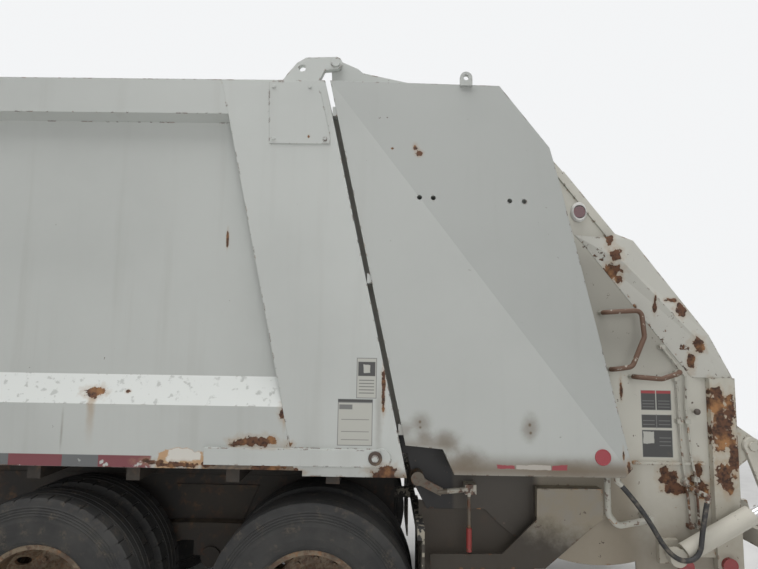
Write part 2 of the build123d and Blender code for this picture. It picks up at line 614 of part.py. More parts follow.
def cab_outline(inset):
    """The side outline of the cab, or of its inside when inset by the wall."""
    front, rear = CAB_FRONT_X + inset, CAB_REAR_X - inset
    roof = CAB_ROOF_Z - inset
    low = CAB_LOW_Z - 100 if inset else CAB_LOW_Z
    sill = CAB_LOW_Z - 100 if inset else CAB_SILL_Z
    heel_x = rear if inset else FRONT_AXLE_X
    return [(front, low), (front, BELT_Z), (front + SCREEN_LEAN, BROW_Z), (front + SCREEN_LEAN + 150, roof - 20),
            (rear - 60, roof), (rear, roof - 70), (rear, sill), (heel_x, sill), (heel_x, low)]


half = CAB_HALF_WIDTH
cab_outer = side_plate(cab_outline(0), -half, half)
top_edges = [edge for edge in cab_outer.edges() if edge.center().Z > CAB_SILL_Z + 40 and abs(edge.center().Y) > half - 1]
cab_outer = fillet(top_edges, 55.0)
inner_half = half - CAB_WALL
cab_inner = side_plate(cab_outline(CAB_WALL)[:7] + [(CAB_FRONT_X + CAB_WALL, CAB_LOW_Z - 100)], -inner_half, inner_half)
arch = cross_bar(FRONT_AXLE_X, TYRE_R, ARCH_R, -half - 10, half + 10)
cab_skin = cab_outer - cab_inner - arch

DOOR_HINGE_R = 13.0
DOOR_PIN_R = 6.0
DOOR_HINGE_X = DOOR_FRONT_X + DOOR_GAP / 2
DOOR_HINGE_Y = CAB_HALF_WIDTH + DOOR_HINGE_R
DOOR_HINGES_Z = (1450.0, 2440.0)
KNUCKLE_HALF = 14.5


def hinge_leaf(side, z, to_door):
    """One half of a door hinge: the cab's two knuckles and pin, or the door's middle knuckle."""
    y_in, y_out = side * (CAB_HALF_WIDTH - 1), side * (CAB_HALF_WIDTH + 7)
    axis_y = side * DOOR_HINGE_Y
    if to_door:
        low, high = z - KNUCKLE_HALF, z + KNUCKLE_HALF
        leaf = block(DOOR_HINGE_X, DOOR_HINGE_X + 90, side * (CAB_HALF_WIDTH + SEAT), y_out, low, high)
        leaf = leaf + block(DOOR_HINGE_X + 60, DOOR_HINGE_X + 90, y_in, y_out, low, high)
        knuckle_body = rod((DOOR_HINGE_X, axis_y, low), (DOOR_HINGE_X, axis_y, high), DOOR_HINGE_R)
        bore = rod((DOOR_HINGE_X, axis_y, low - 1), (DOOR_HINGE_X, axis_y, high + 1), DOOR_PIN_R + RUN)
        return fused(leaf, knuckle_body) - bore
    reach = KNUCKLE_HALF + SEAT + 30
    leaf = block(DOOR_HINGE_X - 70, DOOR_HINGE_X - DOOR_HINGE_R - 6, y_in, y_out, z - reach, z + reach)
    pin = rod((DOOR_HINGE_X, axis_y, z - reach), (DOOR_HINGE_X, axis_y, z + reach), DOOR_PIN_R)
    halves = [leaf, pin]
    for near, far in ((KNUCKLE_HALF + SEAT, reach), (-reach, -KNUCKLE_HALF - SEAT)):
        halves.append(rod((DOOR_HINGE_X, axis_y, z + near), (DOOR_HINGE_X, axis_y, z + far), DOOR_HINGE_R))
        halves.append(block(DOOR_HINGE_X - 30, DOOR_HINGE_X, side * (CAB_HALF_WIDTH + SEAT), y_out, z + near, z + far))
    return fused(*halves)


DOOR_LOW_Z = CAB_SILL_Z + 25
DOOR_TOP_Z = 2700.0
GLASS_LOW_Z = WAIST_Z + 40
GLASS_TOP_Z = 2560.0
GLASS_THICK = 8.0


def door_outline(gap):
    x0, x1 = DOOR_FRONT_X + gap, DOOR_FRONT_X + DOOR_LENGTH - gap
    z0, z1 = DOOR_LOW_Z + gap, DOOR_TOP_Z - gap
    return [(x0, z0), (x0, BELT_Z), (x0 + 45, z1), (x1, z1), (x1, z0)]


WINDOW = [(DOOR_FRONT_X + 105, GLASS_LOW_Z), (DOOR_FRONT_X + 140, GLASS_TOP_Z),
          (DOOR_FRONT_X + DOOR_LENGTH - 85, GLASS_TOP_Z), (DOOR_FRONT_X + DOOR_LENGTH - 85, GLASS_LOW_Z)]
SCREEN_HALF = 1050.0
SCREEN_LOW_Z = 1640.0
SCREEN_TOP_Z = 2540.0
REAR_GLASS_HALF = 520.0
REAR_GLASS_LOW_Z = 1800.0
REAR_GLASS_TOP_Z = 2360.0
GRILLE_HALF = 780.0
GRILLE_LOW_Z = 850.0
GRILLE_TOP_Z = 1190.0

cab_shell = cab_skin
for side_name, side in SIDES:
    y_in, y_out = side * (inner_half - 1), side * (half + 1)
    cab_shell = cab_shell - side_plate(door_outline(0), y_in, y_out)
cab_shell = cab_shell - block(CAB_FRONT_X - 5, CAB_FRONT_X + 240, -SCREEN_HALF, SCREEN_HALF, SCREEN_LOW_Z, SCREEN_TOP_Z)
cab_shell = cab_shell - block(CAB_REAR_X - 60, CAB_REAR_X + 5, -REAR_GLASS_HALF, REAR_GLASS_HALF,
                              REAR_GLASS_LOW_Z, REAR_GLASS_TOP_Z)
cab_shell = cab_shell - block(CAB_FRONT_X - 5, CAB_FRONT_X + 60, -GRILLE_HALF, GRILLE_HALF, GRILLE_LOW_Z, GRILLE_TOP_Z)
for side_name, side in SIDES:
    lug_in = side * (RAIL_OUT_Y + 30 + SEAT)
    lug_out = side * (RAIL_OUT_Y + 30 + SEAT + TILT_LUG)
    lug_points = [(TILT_X - 28, TILT_Z), (CAB_FRONT_X + 10, CAB_LOW_Z + 20), (CAB_FRONT_X + 10, CAB_LOW_Z + 60),
                  (TILT_X + 28, TILT_Z)]
    lug = side_plate(lug_points, lug_in, lug_out) + cross_bar(TILT_X, TILT_Z, TILT_BOSS_R, lug_in, lug_out)
    cab_shell = cab_shell + (lug - cross_bar(TILT_X, TILT_Z, TILT_PIN_R + RUN, lug_in - side, lug_out + side))
    for hinge_z in DOOR_HINGES_Z:
        cab_shell = cab_shell + hinge_leaf(side, hinge_z, False)

for side_name, side in SIDES:
    y_in, y_out = side * (inner_half - 1), side * (half + 1)
    door = cab_skin & side_plate(door_outline(DOOR_GAP), y_in, y_out)
    door = door - side_plate(WINDOW, y_in, y_out)
    handle_x, handle_z = DOOR_FRONT_X + DOOR_LENGTH - 175, GLASS_LOW_Z - 110
    door = door + block(handle_x, handle_x + 120, side * (half - 2), side * (half + 22), handle_z, handle_z + 24)
    for hinge_z in DOOR_HINGES_Z:
        door = door + hinge_leaf(side, hinge_z, True)
    keep(f"door_{side_name}", door)
    glass_y = side * (half - CAB_WALL / 2)
    keep(f"door_glass_{side_name}", side_plate(WINDOW, glass_y, glass_y - side * GLASS_THICK))

lean = SCREEN_LEAN / (BROW_Z - BELT_Z)
screen_x0 = CAB_FRONT_X + CAB_WALL / 2 + (SCREEN_LOW_Z - BELT_Z) * lean
screen_x1 = CAB_FRONT_X + CAB_WALL / 2 + (SCREEN_TOP_Z - BELT_Z) * lean
windscreen = side_plate([(screen_x0, SCREEN_LOW_Z), (screen_x1, SCREEN_TOP_Z), (screen_x1 + GLASS_THICK, SCREEN_TOP_Z),
                         (screen_x0 + GLASS_THICK, SCREEN_LOW_Z)], -SCREEN_HALF, SCREEN_HALF)
rear_glass = block(CAB_REAR_X - 25, CAB_REAR_X - 25 + GLASS_THICK, -REAR_GLASS_HALF, REAR_GLASS_HALF,
                   REAR_GLASS_LOW_Z, REAR_GLASS_TOP_Z)
keep("cab_glass", windscreen, rear_glass)

# Grille: a frame with level bars
grille_front, grille_back = CAB_FRONT_X + 8, CAB_FRONT_X + 34
grille = block(grille_front, grille_back, -GRILLE_HALF, GRILLE_HALF, GRILLE_LOW_Z, GRILLE_TOP_Z)
GRILLE_BARS = 6
GRILLE_EDGE = 22.0
GRILLE_BAR = 20.0
slot = (GRILLE_TOP_Z - GRILLE_LOW_Z - 2 * GRILLE_EDGE - (GRILLE_BARS - 1) * GRILLE_BAR) / GRILLE_BARS
for index in range(GRILLE_BARS):
    slot_z = GRILLE_LOW_Z + GRILLE_EDGE + index * (slot + GRILLE_BAR)
    for y0, y1 in ((-GRILLE_HALF + GRILLE_EDGE, -12), (12, GRILLE_HALF - GRILLE_EDGE)):
        grille = grille - block(grille_front - 5, grille_back + 5, y0, y1, slot_z, slot_z + slot)
keep("grille", grille)

# Cab floor, raised over the engine
TUNNEL_HALF = 420.0
TUNNEL_TOP_Z = 1330.0
FLOOR_THICK = 30.0
floor_front, floor_rear = CAB_FRONT_X + CAB_WALL, CAB_REAR_X - CAB_WALL
floor_top = CAB_SILL_Z + FLOOR_THICK
floor_section = [
    (-inner_half, CAB_SILL_Z), (-TUNNEL_HALF, CAB_SILL_Z), (-TUNNEL_HALF, TUNNEL_TOP_Z - FLOOR_THICK),
    (TUNNEL_HALF, TUNNEL_TOP_Z - FLOOR_THICK), (TUNNEL_HALF, CAB_SILL_Z), (inner_half, CAB_SILL_Z),
    (inner_half, floor_top), (TUNNEL_HALF + FLOOR_THICK, floor_top), (TUNNEL_HALF + FLOOR_THICK, TUNNEL_TOP_Z),
    (-TUNNEL_HALF - FLOOR_THICK, TUNNEL_TOP_Z), (-TUNNEL_HALF - FLOOR_THICK, floor_top), (-inner_half, floor_top)]
cab_floor = rolled_section(floor_section, floor_front, floor_rear)

# Seats: a base, a cushion and a backrest for driver and mate
SEAT_X = CAB_FRONT_X + 800.0
SEAT_Y = 720.0
SEAT_HALF = 250.0
SEAT_LOW_Z = 1560.0
bases, cushions = [], []
BACK_FOOT_X = SEAT_X + 600.0
BACK_HEAD_X = SEAT_X + 670.0
BACK_FOOT_Z = SEAT_LOW_Z + 131.0
BACK_HEAD_Z = SEAT_LOW_Z + 820.0


def back_x(z):
    """The face of the seat's frame behind the backrest, at height z."""
    lean_back = (BACK_HEAD_X - BACK_FOOT_X) / (BACK_HEAD_Z - BACK_FOOT_Z)
    return BACK_FOOT_X + (z - BACK_FOOT_Z) * lean_back + SEAT


for side in (-1, 1):
    y = side * SEAT_Y
    frame_foot, frame_head = SEAT_LOW_Z - 40, SEAT_LOW_Z + 600
    frame_points = [(back_x(frame_foot), frame_foot), (back_x(frame_head), frame_head),
                    (back_x(frame_head) + 24, frame_head), (back_x(frame_foot) + 24, frame_foot)]
    base = block(SEAT_X + 40, back_x(frame_foot) + 20, y - 200, y + 200, floor_top, SEAT_LOW_Z - SEAT)
    bases.append(base + side_plate(frame_points, y - 200, y + 200))
    cushion = block(SEAT_X, SEAT_X + 500, y - SEAT_HALF, y + SEAT_HALF, SEAT_LOW_Z, SEAT_LOW_Z + 130)
    cushions.append(fillet(cushion.edges(), 35.0))
    back_points = [(SEAT_X + 470, BACK_FOOT_Z), (SEAT_X + 560, BACK_HEAD_Z),
                   (BACK_HEAD_X, BACK_HEAD_Z), (BACK_FOOT_X, BACK_FOOT_Z)]
    cushions.append(fillet(side_plate(back_points, y - SEAT_HALF, y + SEAT_HALF).edges(), 35.0))
keep("cab_floor", fused(cab_floor, *bases))
keep("seat_cushions", *cushions)

# Dashboard with the steering wheel on its column
dash_points = [(CAB_FRONT_X + CAB_WALL + 5, 1330), (CAB_FRONT_X + CAB_WALL + 5, 1600), (CAB_FRONT_X + 330, 1640),
               (CAB_FRONT_X + 420, 1560), (CAB_FRONT_X + 330, 1420), (CAB_FRONT_X + 200, 1330)]
dashboard = side_plate(dash_points, -inner_half + 8, inner_half - 8)
wheel_centre = Vector(CAB_FRONT_X + 560, -SEAT_Y, 1760)
column_foot = Vector(CAB_FRONT_X + 330, -SEAT_Y, 1500)
column_end = wheel_centre - (wheel_centre - column_foot).normalized() * 2
column = rod(tuple(column_foot), tuple(column_end), 30.0)
column_plane = Plane(origin=wheel_centre, z_dir=wheel_centre - column_foot)
steering_wheel = column_plane * Torus(215.0, 15.0)
spoke = column_plane * Box(420.0, 36.0, 14.0)
keep("dashboard", dashboard)
keep("steering_wheel", fused(steering_wheel, spoke, column - dashboard))

# Cab steps: a box under each door with two treads let into it
STEP_FRONT_X = FRONT_X + BUMPER_DEPTH + 15
STEP_LOW_Z = 430.0
STEP_DEPTH = 290.0


def cab_step(side):
    y_out, y_in = side * (half - 4), side * (half - 4 - STEP_DEPTH)
    points = [(STEP_FRONT_X, STEP_LOW_Z), (STEP_FRONT_X, CAB_LOW_Z), (FRONT_AXLE_X, CAB_LOW_Z),
              (FRONT_AXLE_X, STEP_LOW_Z)]
    body = side_plate(points, y_in, y_out) - cross_bar(FRONT_AXLE_X, TYRE_R, ARCH_R, y_in - side, y_out + side)
    for tread_z in (STEP_LOW_Z + 35, STEP_LOW_Z + 205):
        body = body - block(STEP_FRONT_X + 60, STEP_FRONT_X + 480, y_out + side, y_in + side * 40, tread_z, tread_z + 135)
    return body


keep("cab_shell", cab_shell)
keep("cab_steps", *both_sides(cab_step))


# Wipers, parked along the foot of the windscreen
WIPER_Z = 1606.0
WIPER_REACH = 430.0
WIPER_BLADE_HALF = 310.0
WIPER_PIVOTS_Y = (-870.0, -60.0)


def wiper(pivot_y):
    """A pivot on the cab's front, a cranked arm, and a blade just ahead of the glass."""
    blade_z = WIPER_Z + 85
    blade_x = CAB_FRONT_X + CAB_WALL / 2 + (blade_z - BELT_Z) * lean - 9
    crank = (CAB_FRONT_X + 2, pivot_y + WIPER_REACH / 2, WIPER_Z + 49)
    blade_y = pivot_y + WIPER_REACH
    pivot_r = 16.0
    seat_x = CAB_FRONT_X + (WIPER_Z - pivot_r - BELT_Z) * lean - SEAT
    pivot = rod((CAB_FRONT_X - 22, pivot_y, WIPER_Z), (seat_x, pivot_y, WIPER_Z), pivot_r)
    arm = rod((CAB_FRONT_X - 15, pivot_y, WIPER_Z), crank, 6.0) + Pos(*crank) * Sphere(6.0)
    arm = arm + rod(crank, (blade_x, blade_y, blade_z), 6.0)
    blade = rod((blade_x, blade_y - WIPER_BLADE_HALF, blade_z), (blade_x, blade_y + WIPER_BLADE_HALF, blade_z), 7.0)
    return fused(pivot, arm, blade)


# Mirrors on two arms, ahead of each door's hinge
def mirror_set(side):
    x = DOOR_FRONT_X - 130
    y = side * (half + 95)
    head = block(x - 35, x + 35, y - 85, y + 85, 1900, 2330)
    head = fillet(head.edges(), 22.0)
    for arm_z in (2010, 2250):
        head = head + rod((x, side * half, arm_z), (x, y, arm_z), 12.0)
    return head


wipers = [wiper(pivot_y) for pivot_y in WIPER_PIVOTS_Y]
keep("mirrors", *both_sides(mirror_set), *wipers)

# Headlamps, let into the bumper's ends
LAMP_Y0, LAMP_Y1 = 640.0 + SEAT, 1010.0 - SEAT
LAMP_Z0, LAMP_Z1 = 450.0 + SEAT, 640.0 - SEAT


def headlamp(side):
    body = block(FRONT_X + 6, FRONT_X + 96, side * LAMP_Y0, side * LAMP_Y1, LAMP_Z0, LAMP_Z1)
    body = fillet(body.edges().filter_by(Axis.X), 12.0)
    bezel = block(FRONT_X + 5, FRONT_X + 16, side * (LAMP_Y0 + 14), side * (LAMP_Y1 - 14), 466, 624)
    return body - bezel


keep("headlamps", *both_sides(headlamp))

# Tow eyes: two lugs under the rails' front ends, each bored upright for a pin
def tow_coupling(side):
    y = side * TOW_EYE_Y
    stem = block(FRONT_X + 95, RAIL_FRONT_X + 60, y - 30, y + 30, TOW_EYE_Z - 32, TOW_EYE_Z + 32)
    eye = rod((FRONT_X + 60, y, TOW_EYE_Z - 15), (FRONT_X + 60, y, TOW_EYE_Z + 15), 48.0)
    hanger = block(RAIL_FRONT_X, RAIL_FRONT_X + 60, y - 28, y + 30, TOW_EYE_Z - 32, RAIL_TOP - RAIL_HEIGHT - SEAT)
    bore = rod((FRONT_X + 60, y, TOW_EYE_Z - 40), (FRONT_X + 60, y, TOW_EYE_Z + 40), TOW_PIN_R)
    return fused(stem, eye, hanger) - bore


keep("frame_rails", *both_sides(frame_rail), *cross_members, *both_sides(tow_coupling))

# Body underframe: two sills on the chassis rails and cross bearers over them
SILL_TOP_Z = 1140.0
BEARER_PITCH = 520.0
BEARER_WIDTH = 70.0
BODY_REAR_X = REAR_AXLE_X + 440.0
floor_low = BODY_FLOOR_Z
wall_in_y = WALL_Y - WALL_THICK
underframe = []
for side in (-1, 1):
    sill_y = side * (RAIL_OUT_Y - 5)
    underframe.append(block(BODY_FRONT_X, RAIL_REAR_X, sill_y, sill_y - side * RAIL_FLANGE,
                            RAIL_TOP, SILL_TOP_Z - SEAT))
bearers = int((BODY_REAR_X - BODY_FRONT_X - BEARER_WIDTH) / BEARER_PITCH) + 1
for index in range(bearers):
    bearer_x = BODY_FRONT_X + index * BEARER_PITCH
    underframe.append(block(bearer_x, bearer_x + BEARER_WIDTH, -wall_in_y, wall_in_y,
                            SILL_TOP_Z, floor_low - SEAT))

# Load body: floor, front wall, roof and two pressed side walls
body_floor = side_plate([(BODY_FRONT_X, floor_low), (BODY_FRONT_X, floor_low + 40),
                         (raked_x(floor_low + 40, BAND_TOP_X + BAND_WIDTH), floor_low + 40),
                         (raked_x(floor_low, BAND_TOP_X + BAND_WIDTH), floor_low)], -wall_in_y, wall_in_y)
keep("body_floor", *underframe, body_floor)
FRONT_WALL_TOP_Z = 3235.0
keep("body_front_wall", block(BODY_FRONT_X, BODY_FRONT_X + 40, -wall_in_y, wall_in_y, floor_low + 40, FRONT_WALL_TOP_Z))
roof_points = [(-wall_in_y, FRONT_WALL_TOP_Z), (wall_in_y, FRONT_WALL_TOP_Z), (wall_in_y, BODY_TOP_Z - 18),
               (0, BODY_TOP_Z + 12), (-wall_in_y, BODY_TOP_Z - 18)]
keep("body_roof", rolled_section(roof_points, BODY_FRONT_X, BAND_TOP_X))


def body_side(side):
    """A side wall pressed between a proud top rail and a proud bottom rail."""
    section = [(side * y, z) for y, z in (
        (wall_in_y, BODY_FLOOR_Z), (HALF_WIDTH, BODY_FLOOR_Z), (HALF_WIDTH, BEVEL_LOW_Z), (WALL_Y, BEVEL_TOP_Z),
        (WALL_Y, TOP_RAIL_ROOT_Z), (HALF_WIDTH, TOP_RAIL_LOW_Z), (HALF_WIDTH, BODY_TOP_Z), (wall_in_y, BODY_TOP_Z))]
    wall = rolled_section(section, BODY_FRONT_X, BODY_REAR_X)
    outline = [(BODY_FRONT_X, BODY_FLOOR_Z), (BODY_FRONT_X, BODY_TOP_Z), (BAND_TOP_X, BODY_TOP_Z),
               (raked_x(BODY_FLOOR_Z, BAND_TOP_X), BODY_FLOOR_Z)]
    return wall & side_plate(outline, side * (wall_in_y - 1), side * (HALF_WIDTH + 1))


keep("body_sides", *both_sides(body_side))

# Rear frame: a raked band each side, with the hinge ear on top and a bumper bar below
BAR_OUT_Y = HALF_WIDTH + 24.0
BAR_LOW_Z = 1251.0
BAR_TOP_Z = 1335.0
HATCH_THICK = 5.0
HATCH_BOLT_R = 10.0
EAR_IN_Y = EAR_Y + EAR_THICK / 2 + SEAT
EAR_OUT_Y = EAR_IN_Y + EAR_THICK
EAR_NOSE_X = REAR_AXLE_X - 123.0
EAR_NOSE_Z = 3374.0


def rear_band(side):
    low_z = BODY_FLOOR_Z - 27
    top = BODY_TOP_Z
    outline = [(BAND_TOP_X, top), (BAND_TOP_X + BAND_WIDTH, top),
               (raked_x(low_z, BAND_TOP_X + BAND_WIDTH), low_z), (REAR_AXLE_X - 50, low_z),
               (REAR_AXLE_X - 50, BODY_FLOOR_Z), (raked_x(BODY_FLOOR_Z, BAND_TOP_X), BODY_FLOOR_Z)]
    body = side_plate(outline, side * wall_in_y, side * HALF_WIDTH)
    bar = block(REAR_AXLE_X - 90, REAR_AXLE_X + 340, side * (HALF_WIDTH - 1), side * BAR_OUT_Y, BAR_LOW_Z, BAR_TOP_Z)
    bar = bar + block(REAR_AXLE_X - 543, REAR_AXLE_X - 80, side * (HALF_WIDTH + SEAT), side * BAR_OUT_Y,
                      BAR_LOW_Z, BAR_TOP_Z)
    # The bar ends in a round plate, with a pin ringed by a washer
    bar = bar + cross_bar(REAR_AXLE_X + 345, (BAR_LOW_Z + BAR_TOP_Z) / 2, (BAR_TOP_Z - BAR_LOW_Z) / 2 + 6,
                          side * (HALF_WIDTH - 1), side * (BAR_OUT_Y - 8))
    bar = bar + cross_bar(REAR_AXLE_X + 315, 1296, 34.0, side * HALF_WIDTH, side * (BAR_OUT_Y + 8))
    bar = bar + cross_bar(REAR_AXLE_X + 315, 1296, 17.0, side * HALF_WIDTH, side * (BAR_OUT_Y + 18))
    # A bolted hatch over the hinge cylinder's foot
    hatch_points = [(REAR_AXLE_X + x, z) for x, z in ((-292, 3268), (-45, 3268), (-9, 3203), (46, 2962), (47, 2922),
                                                      (-279, 2922))]
    hatch = side_plate(hatch_points, side * (HALF_WIDTH - 1), side * (HALF_WIDTH + HATCH_THICK))
    for bolt_x, bolt_z in ((-265, 3240), (-70, 3240), (-257, 2948), (18, 2948)):
        hatch = hatch + cross_bar(REAR_AXLE_X + bolt_x, bolt_z, HATCH_BOLT_R, side * HALF_WIDTH,
                                  side * (HALF_WIDTH + HATCH_THICK + 6))
    ear_points = [(REAR_AXLE_X - 245, top - 2), (REAR_AXLE_X - 205, EAR_NOSE_Z - 35), (EAR_NOSE_X - 30, EAR_NOSE_Z + 30),
                  (EAR_NOSE_X + 20, 3435), (HINGE_X, HINGE_Z + HINGE_BOSS_R), (HINGE_X, HINGE_Z - HINGE_BOSS_R),
                  (HINGE_X - 60, HINGE_Z - 42), (HINGE_X - 100, top - 2)]
    ear = side_plate(ear_points, side * EAR_IN_Y, side * EAR_OUT_Y)
    ear = ear + cross_bar(HINGE_X, HINGE_Z, HINGE_BOSS_R, side * EAR_IN_Y, side * EAR_OUT_Y)
    ear = ear - cross_bar(EAR_NOSE_X, EAR_NOSE_Z, 20.0, side * (EAR_IN_Y - 1), side * (EAR_OUT_Y + 1))
    pin = cross_bar(HINGE_X, HINGE_Z, HINGE_PIN_R, side * (EAR_Y - EAR_THICK / 2 - 12), side * (EAR_OUT_Y + 12))
    return fused(body, bar, hatch, ear, pin)


beam_top = [(BAND_TOP_X + 5, BODY_TOP_Z), (BAND_TOP_X + BAND_WIDTH, BODY_TOP_Z),
            (raked_x(3180, BAND_TOP_X + BAND_WIDTH), 3180), (raked_x(3180, BAND_TOP_X) + 5, 3180)]
keep("rear_frame", *both_sides(rear_band), side_plate(beam_top, -wall_in_y + SEAT, wall_in_y - SEAT))

# Tailgate: side covers in two facets over the packer's cylinders
R = REAR_AXLE_X
GATE_TOP_X = BAND_TOP_X + BAND_WIDTH + TAILGATE_GAP
COVER_LOW_Z = 1218.0
COVER_TILT = 7.5
STOP_PADS_Z = (3107.0, 2204.0, 1434.0)
PAD_HALF = 26.0
PAD_CLEARANCE = 6.0
COVER_HOLE_R = 13.0
CREASE_START = (GATE_TOP_X, BODY_TOP_Z)
CREASE_END = (R + 1600.0, COVER_LOW_Z + 10)


def side_cover(side):
    outline = [(GATE_TOP_X, BODY_TOP_Z), (R + 973, 3308), (R + 1246, 2955), (R + 1295, 2752), (R + 1604, 1262),
               (R + 1560, COVER_LOW_Z), (R + 712, COVER_LOW_Z), (R + 655, 1342),
               (raked_x(1358, GATE_TOP_X), 1358)]
    cover = side_plate(outline, side * HOPPER_Y, side * HALF_WIDTH)
    run, drop = CREASE_END[0] - CREASE_START[0], CREASE_END[1] - CREASE_START[1]
    length = hypot(run, drop)
    along = Vector(run / length, 0, drop / length)
    upward = Vector(-drop / length, 0, run / length)
    outward = Vector(0, side, 0)
    tilt = radians(COVER_TILT)
    normal = outward * cos(tilt) + upward * sin(tilt)
    origin = Vector(CREASE_START[0], side * HALF_WIDTH, CREASE_START[1])
    # The facet plane holds the crease and leans inboard above it
    facet = Plane(origin=origin, x_dir=along, z_dir=normal)
    half_space = facet * (Pos(1500, 0, 200) * Box(6000, 4000, 400))
    keep_low = side_plate([(CREASE_START[0] - 500, 0), CREASE_START, CREASE_END, (CREASE_END[0], 0)],
                          side * HOPPER_Y, side * (HALF_WIDTH + 10))
    cover = cover - (half_space - keep_low)
    ear_points = [(HINGE_X + 10, HINGE_Z + HINGE_BOSS_R - 2), (HINGE_X + 120, HINGE_Z - 15), (HINGE_X + 150, HINGE_Z - 40),
                  (R + 560, BODY_TOP_Z + 10), (GATE_TOP_X + 5, BODY_TOP_Z - 5), (HINGE_X - 25, HINGE_Z - 25)]
    low_y, high_y = side * (EAR_Y - EAR_THICK / 2), side * (EAR_Y + EAR_THICK / 2)
    ear = side_plate(ear_points, low_y, high_y) + cross_bar(HINGE_X, HINGE_Z, HINGE_BOSS_R, low_y, high_y)
    ear = ear - cross_bar(HINGE_X, HINGE_Z, HINGE_PIN_R + RUN, low_y - side, high_y + side)
    # Stop pads on the front edge, which reach most of the way over the gap to the band
    for pad_z in STOP_PADS_Z:
        edge_x = raked_x(pad_z, GATE_TOP_X)
        cover = cover + block(edge_x - TAILGATE_GAP + PAD_CLEARANCE, edge_x + 20, side * (HALF_WIDTH - 60),
                              side * (HALF_WIDTH - 4), pad_z - PAD_HALF, pad_z + PAD_HALF)
    # A lifting eye on the top edge, and the bolt holes of a guard that isn't fitted
    eye_x, eye_z = R + 783, 3336
    eye = cross_bar(eye_x, eye_z, 34.0, side * (HALF_WIDTH - 82), side * (HALF_WIDTH - 62))
    eye = eye + block(eye_x - 34, eye_x + 34, side * (HALF_WIDTH - 82), side * (HALF_WIDTH - 62), 3290, eye_z)
    cover = cover + (eye - cross_bar(eye_x, eye_z, 15.0, side * (HALF_WIDTH - 90), side * (HALF_WIDTH - 50)))
    for hole_x in (R + 527, R + 600, R + 1014, R + 1093):
        cover = cover - cross_bar(hole_x, 2638, COVER_HOLE_R, side * (HALF_WIDTH - 100), side * (HALF_WIDTH + 5))
    return cover + ear


keep("tailgate_covers", *both_sides(side_cover))


def on_floor(radius, angle):
    """A point of the hopper floor's circle, at an angle in degrees from +X."""
    return (FLOOR_X + radius * cos(radians(angle)), FLOOR_Z + radius * sin(radians(angle)))


FLOOR_START_ANGLE = -135.0
FLOOR_END_ANGLE = -28.0
SLOPE_RUN = 365.0


def floor_curve(radius):
    """The hopper floor's line: a ramp down from the body, then a round trough."""
    start = on_floor(radius, FLOOR_START_ANGLE)
    ramp_top = (start[0] - SLOPE_RUN * cos(radians(45)), start[1] + SLOPE_RUN * sin(radians(45)))
    return ramp_top, start, on_floor(radius, (FLOOR_START_ANGLE + FLOOR_END_ANGLE) / 2), on_floor(radius, FLOOR_END_ANGLE)


def section_plate(edges_xz, y0, y1):
    """A plate from a closed chain of (points) of two for a line and three for an arc."""
    low, high = min(y0, y1), max(y0, y1)
    edges = []
    for points in edges_xz:
        ends = [Vector(x, low, z) for x, z in points]
        edges.append(Edge.make_line(*ends) if len(ends) == 2 else Edge.make_three_point_arc(*ends))
    return extrude(Face(Wire(edges)), amount=high - low, dir=(0, 1, 0))


LIP_REACH = 72.0
FLANGE_STEP = (36.0, 28.0)
FLANGE_THICK = 12.0


def hopper_side(side):
    ramp_top, start, middle, end = floor_curve(FLOOR_R + FLOOR_WALL)
    front_low = (raked_x(ramp_top[1], GATE_TOP_X), ramp_top[1])
    front_top = (GATE_TOP_X, BODY_TOP_Z)
    top = [front_top, (R + 973, 3300), (R + 1350, 2850), (R + 1627, 2496), (R + 1726, 2458), (R + 2118, 1941),
           (R + 2236, POST_TOP_Z), (R + 2236, end[1]), end]
    chain = [(front_low, front_top)] + [(a, b) for a, b in zip(top, top[1:])]
    chain += [(end, middle, start), (start, ramp_top), (ramp_top, front_low)]
    y_in, y_out = side * (HOPPER_Y - HOPPER_PLATE), side * HOPPER_Y
    plate = section_plate(chain, y_in, y_out)
    skirt = side_plate([(R + 1690, 1300), (R + 1690, 690), (R + 2230, 690), (R + 2230, 1300)], side * (HOPPER_Y - 10), y_out)
    # A lip laps inside the body behind the gap, and an apron closes the side below the cover
    lip_low, lip_high = 1284.0, 3150.0
    lip = side_plate([(raked_x(lip_low, GATE_TOP_X) + 5, lip_low), (raked_x(lip_high, GATE_TOP_X) + 5, lip_high),
                      (raked_x(lip_high, GATE_TOP_X) - LIP_REACH, lip_high),
                      (raked_x(lip_low, GATE_TOP_X) - LIP_REACH, lip_low)], y_in, y_out)
    apron = side_plate([(raked_x(1300, GATE_TOP_X) + 1, 1300), (raked_x(1130, GATE_TOP_X) + 1, 1130),
                        (R + 590, 1000), (R + 985, 1000), (R + 985, 1300)], y_in, y_out)
    # A flange strip stiffens the rear edge, and a ledge runs along the side above the skirt
    edge = top[2:7]
    inner_edge = [(x - FLANGE_STEP[0], z - FLANGE_STEP[1]) for x, z in reversed(edge)]
    flange = side_plate(edge + inner_edge, y_out - side, y_out + side * FLANGE_THICK)
    flange = flange - block(R + 2000, R + 2300, y_in, y_out + side * HOPPER_PLATE, POST_TOP_Z - 60, POST_TOP_Z + SEAT)
    ledge = block(R + 1686, R + 2069, y_out - side, y_out + side * 16, 1250, 1262)
    knob = cross_bar(R + 2023, 1532, 8.0, y_out - side, y_out + side * 34)
    knob = knob + Pos(R + 2023, y_out + side * 40, 1532) * Sphere(17.0)
    return fused(plate, skirt, lip, apron, flange, ledge, knob)


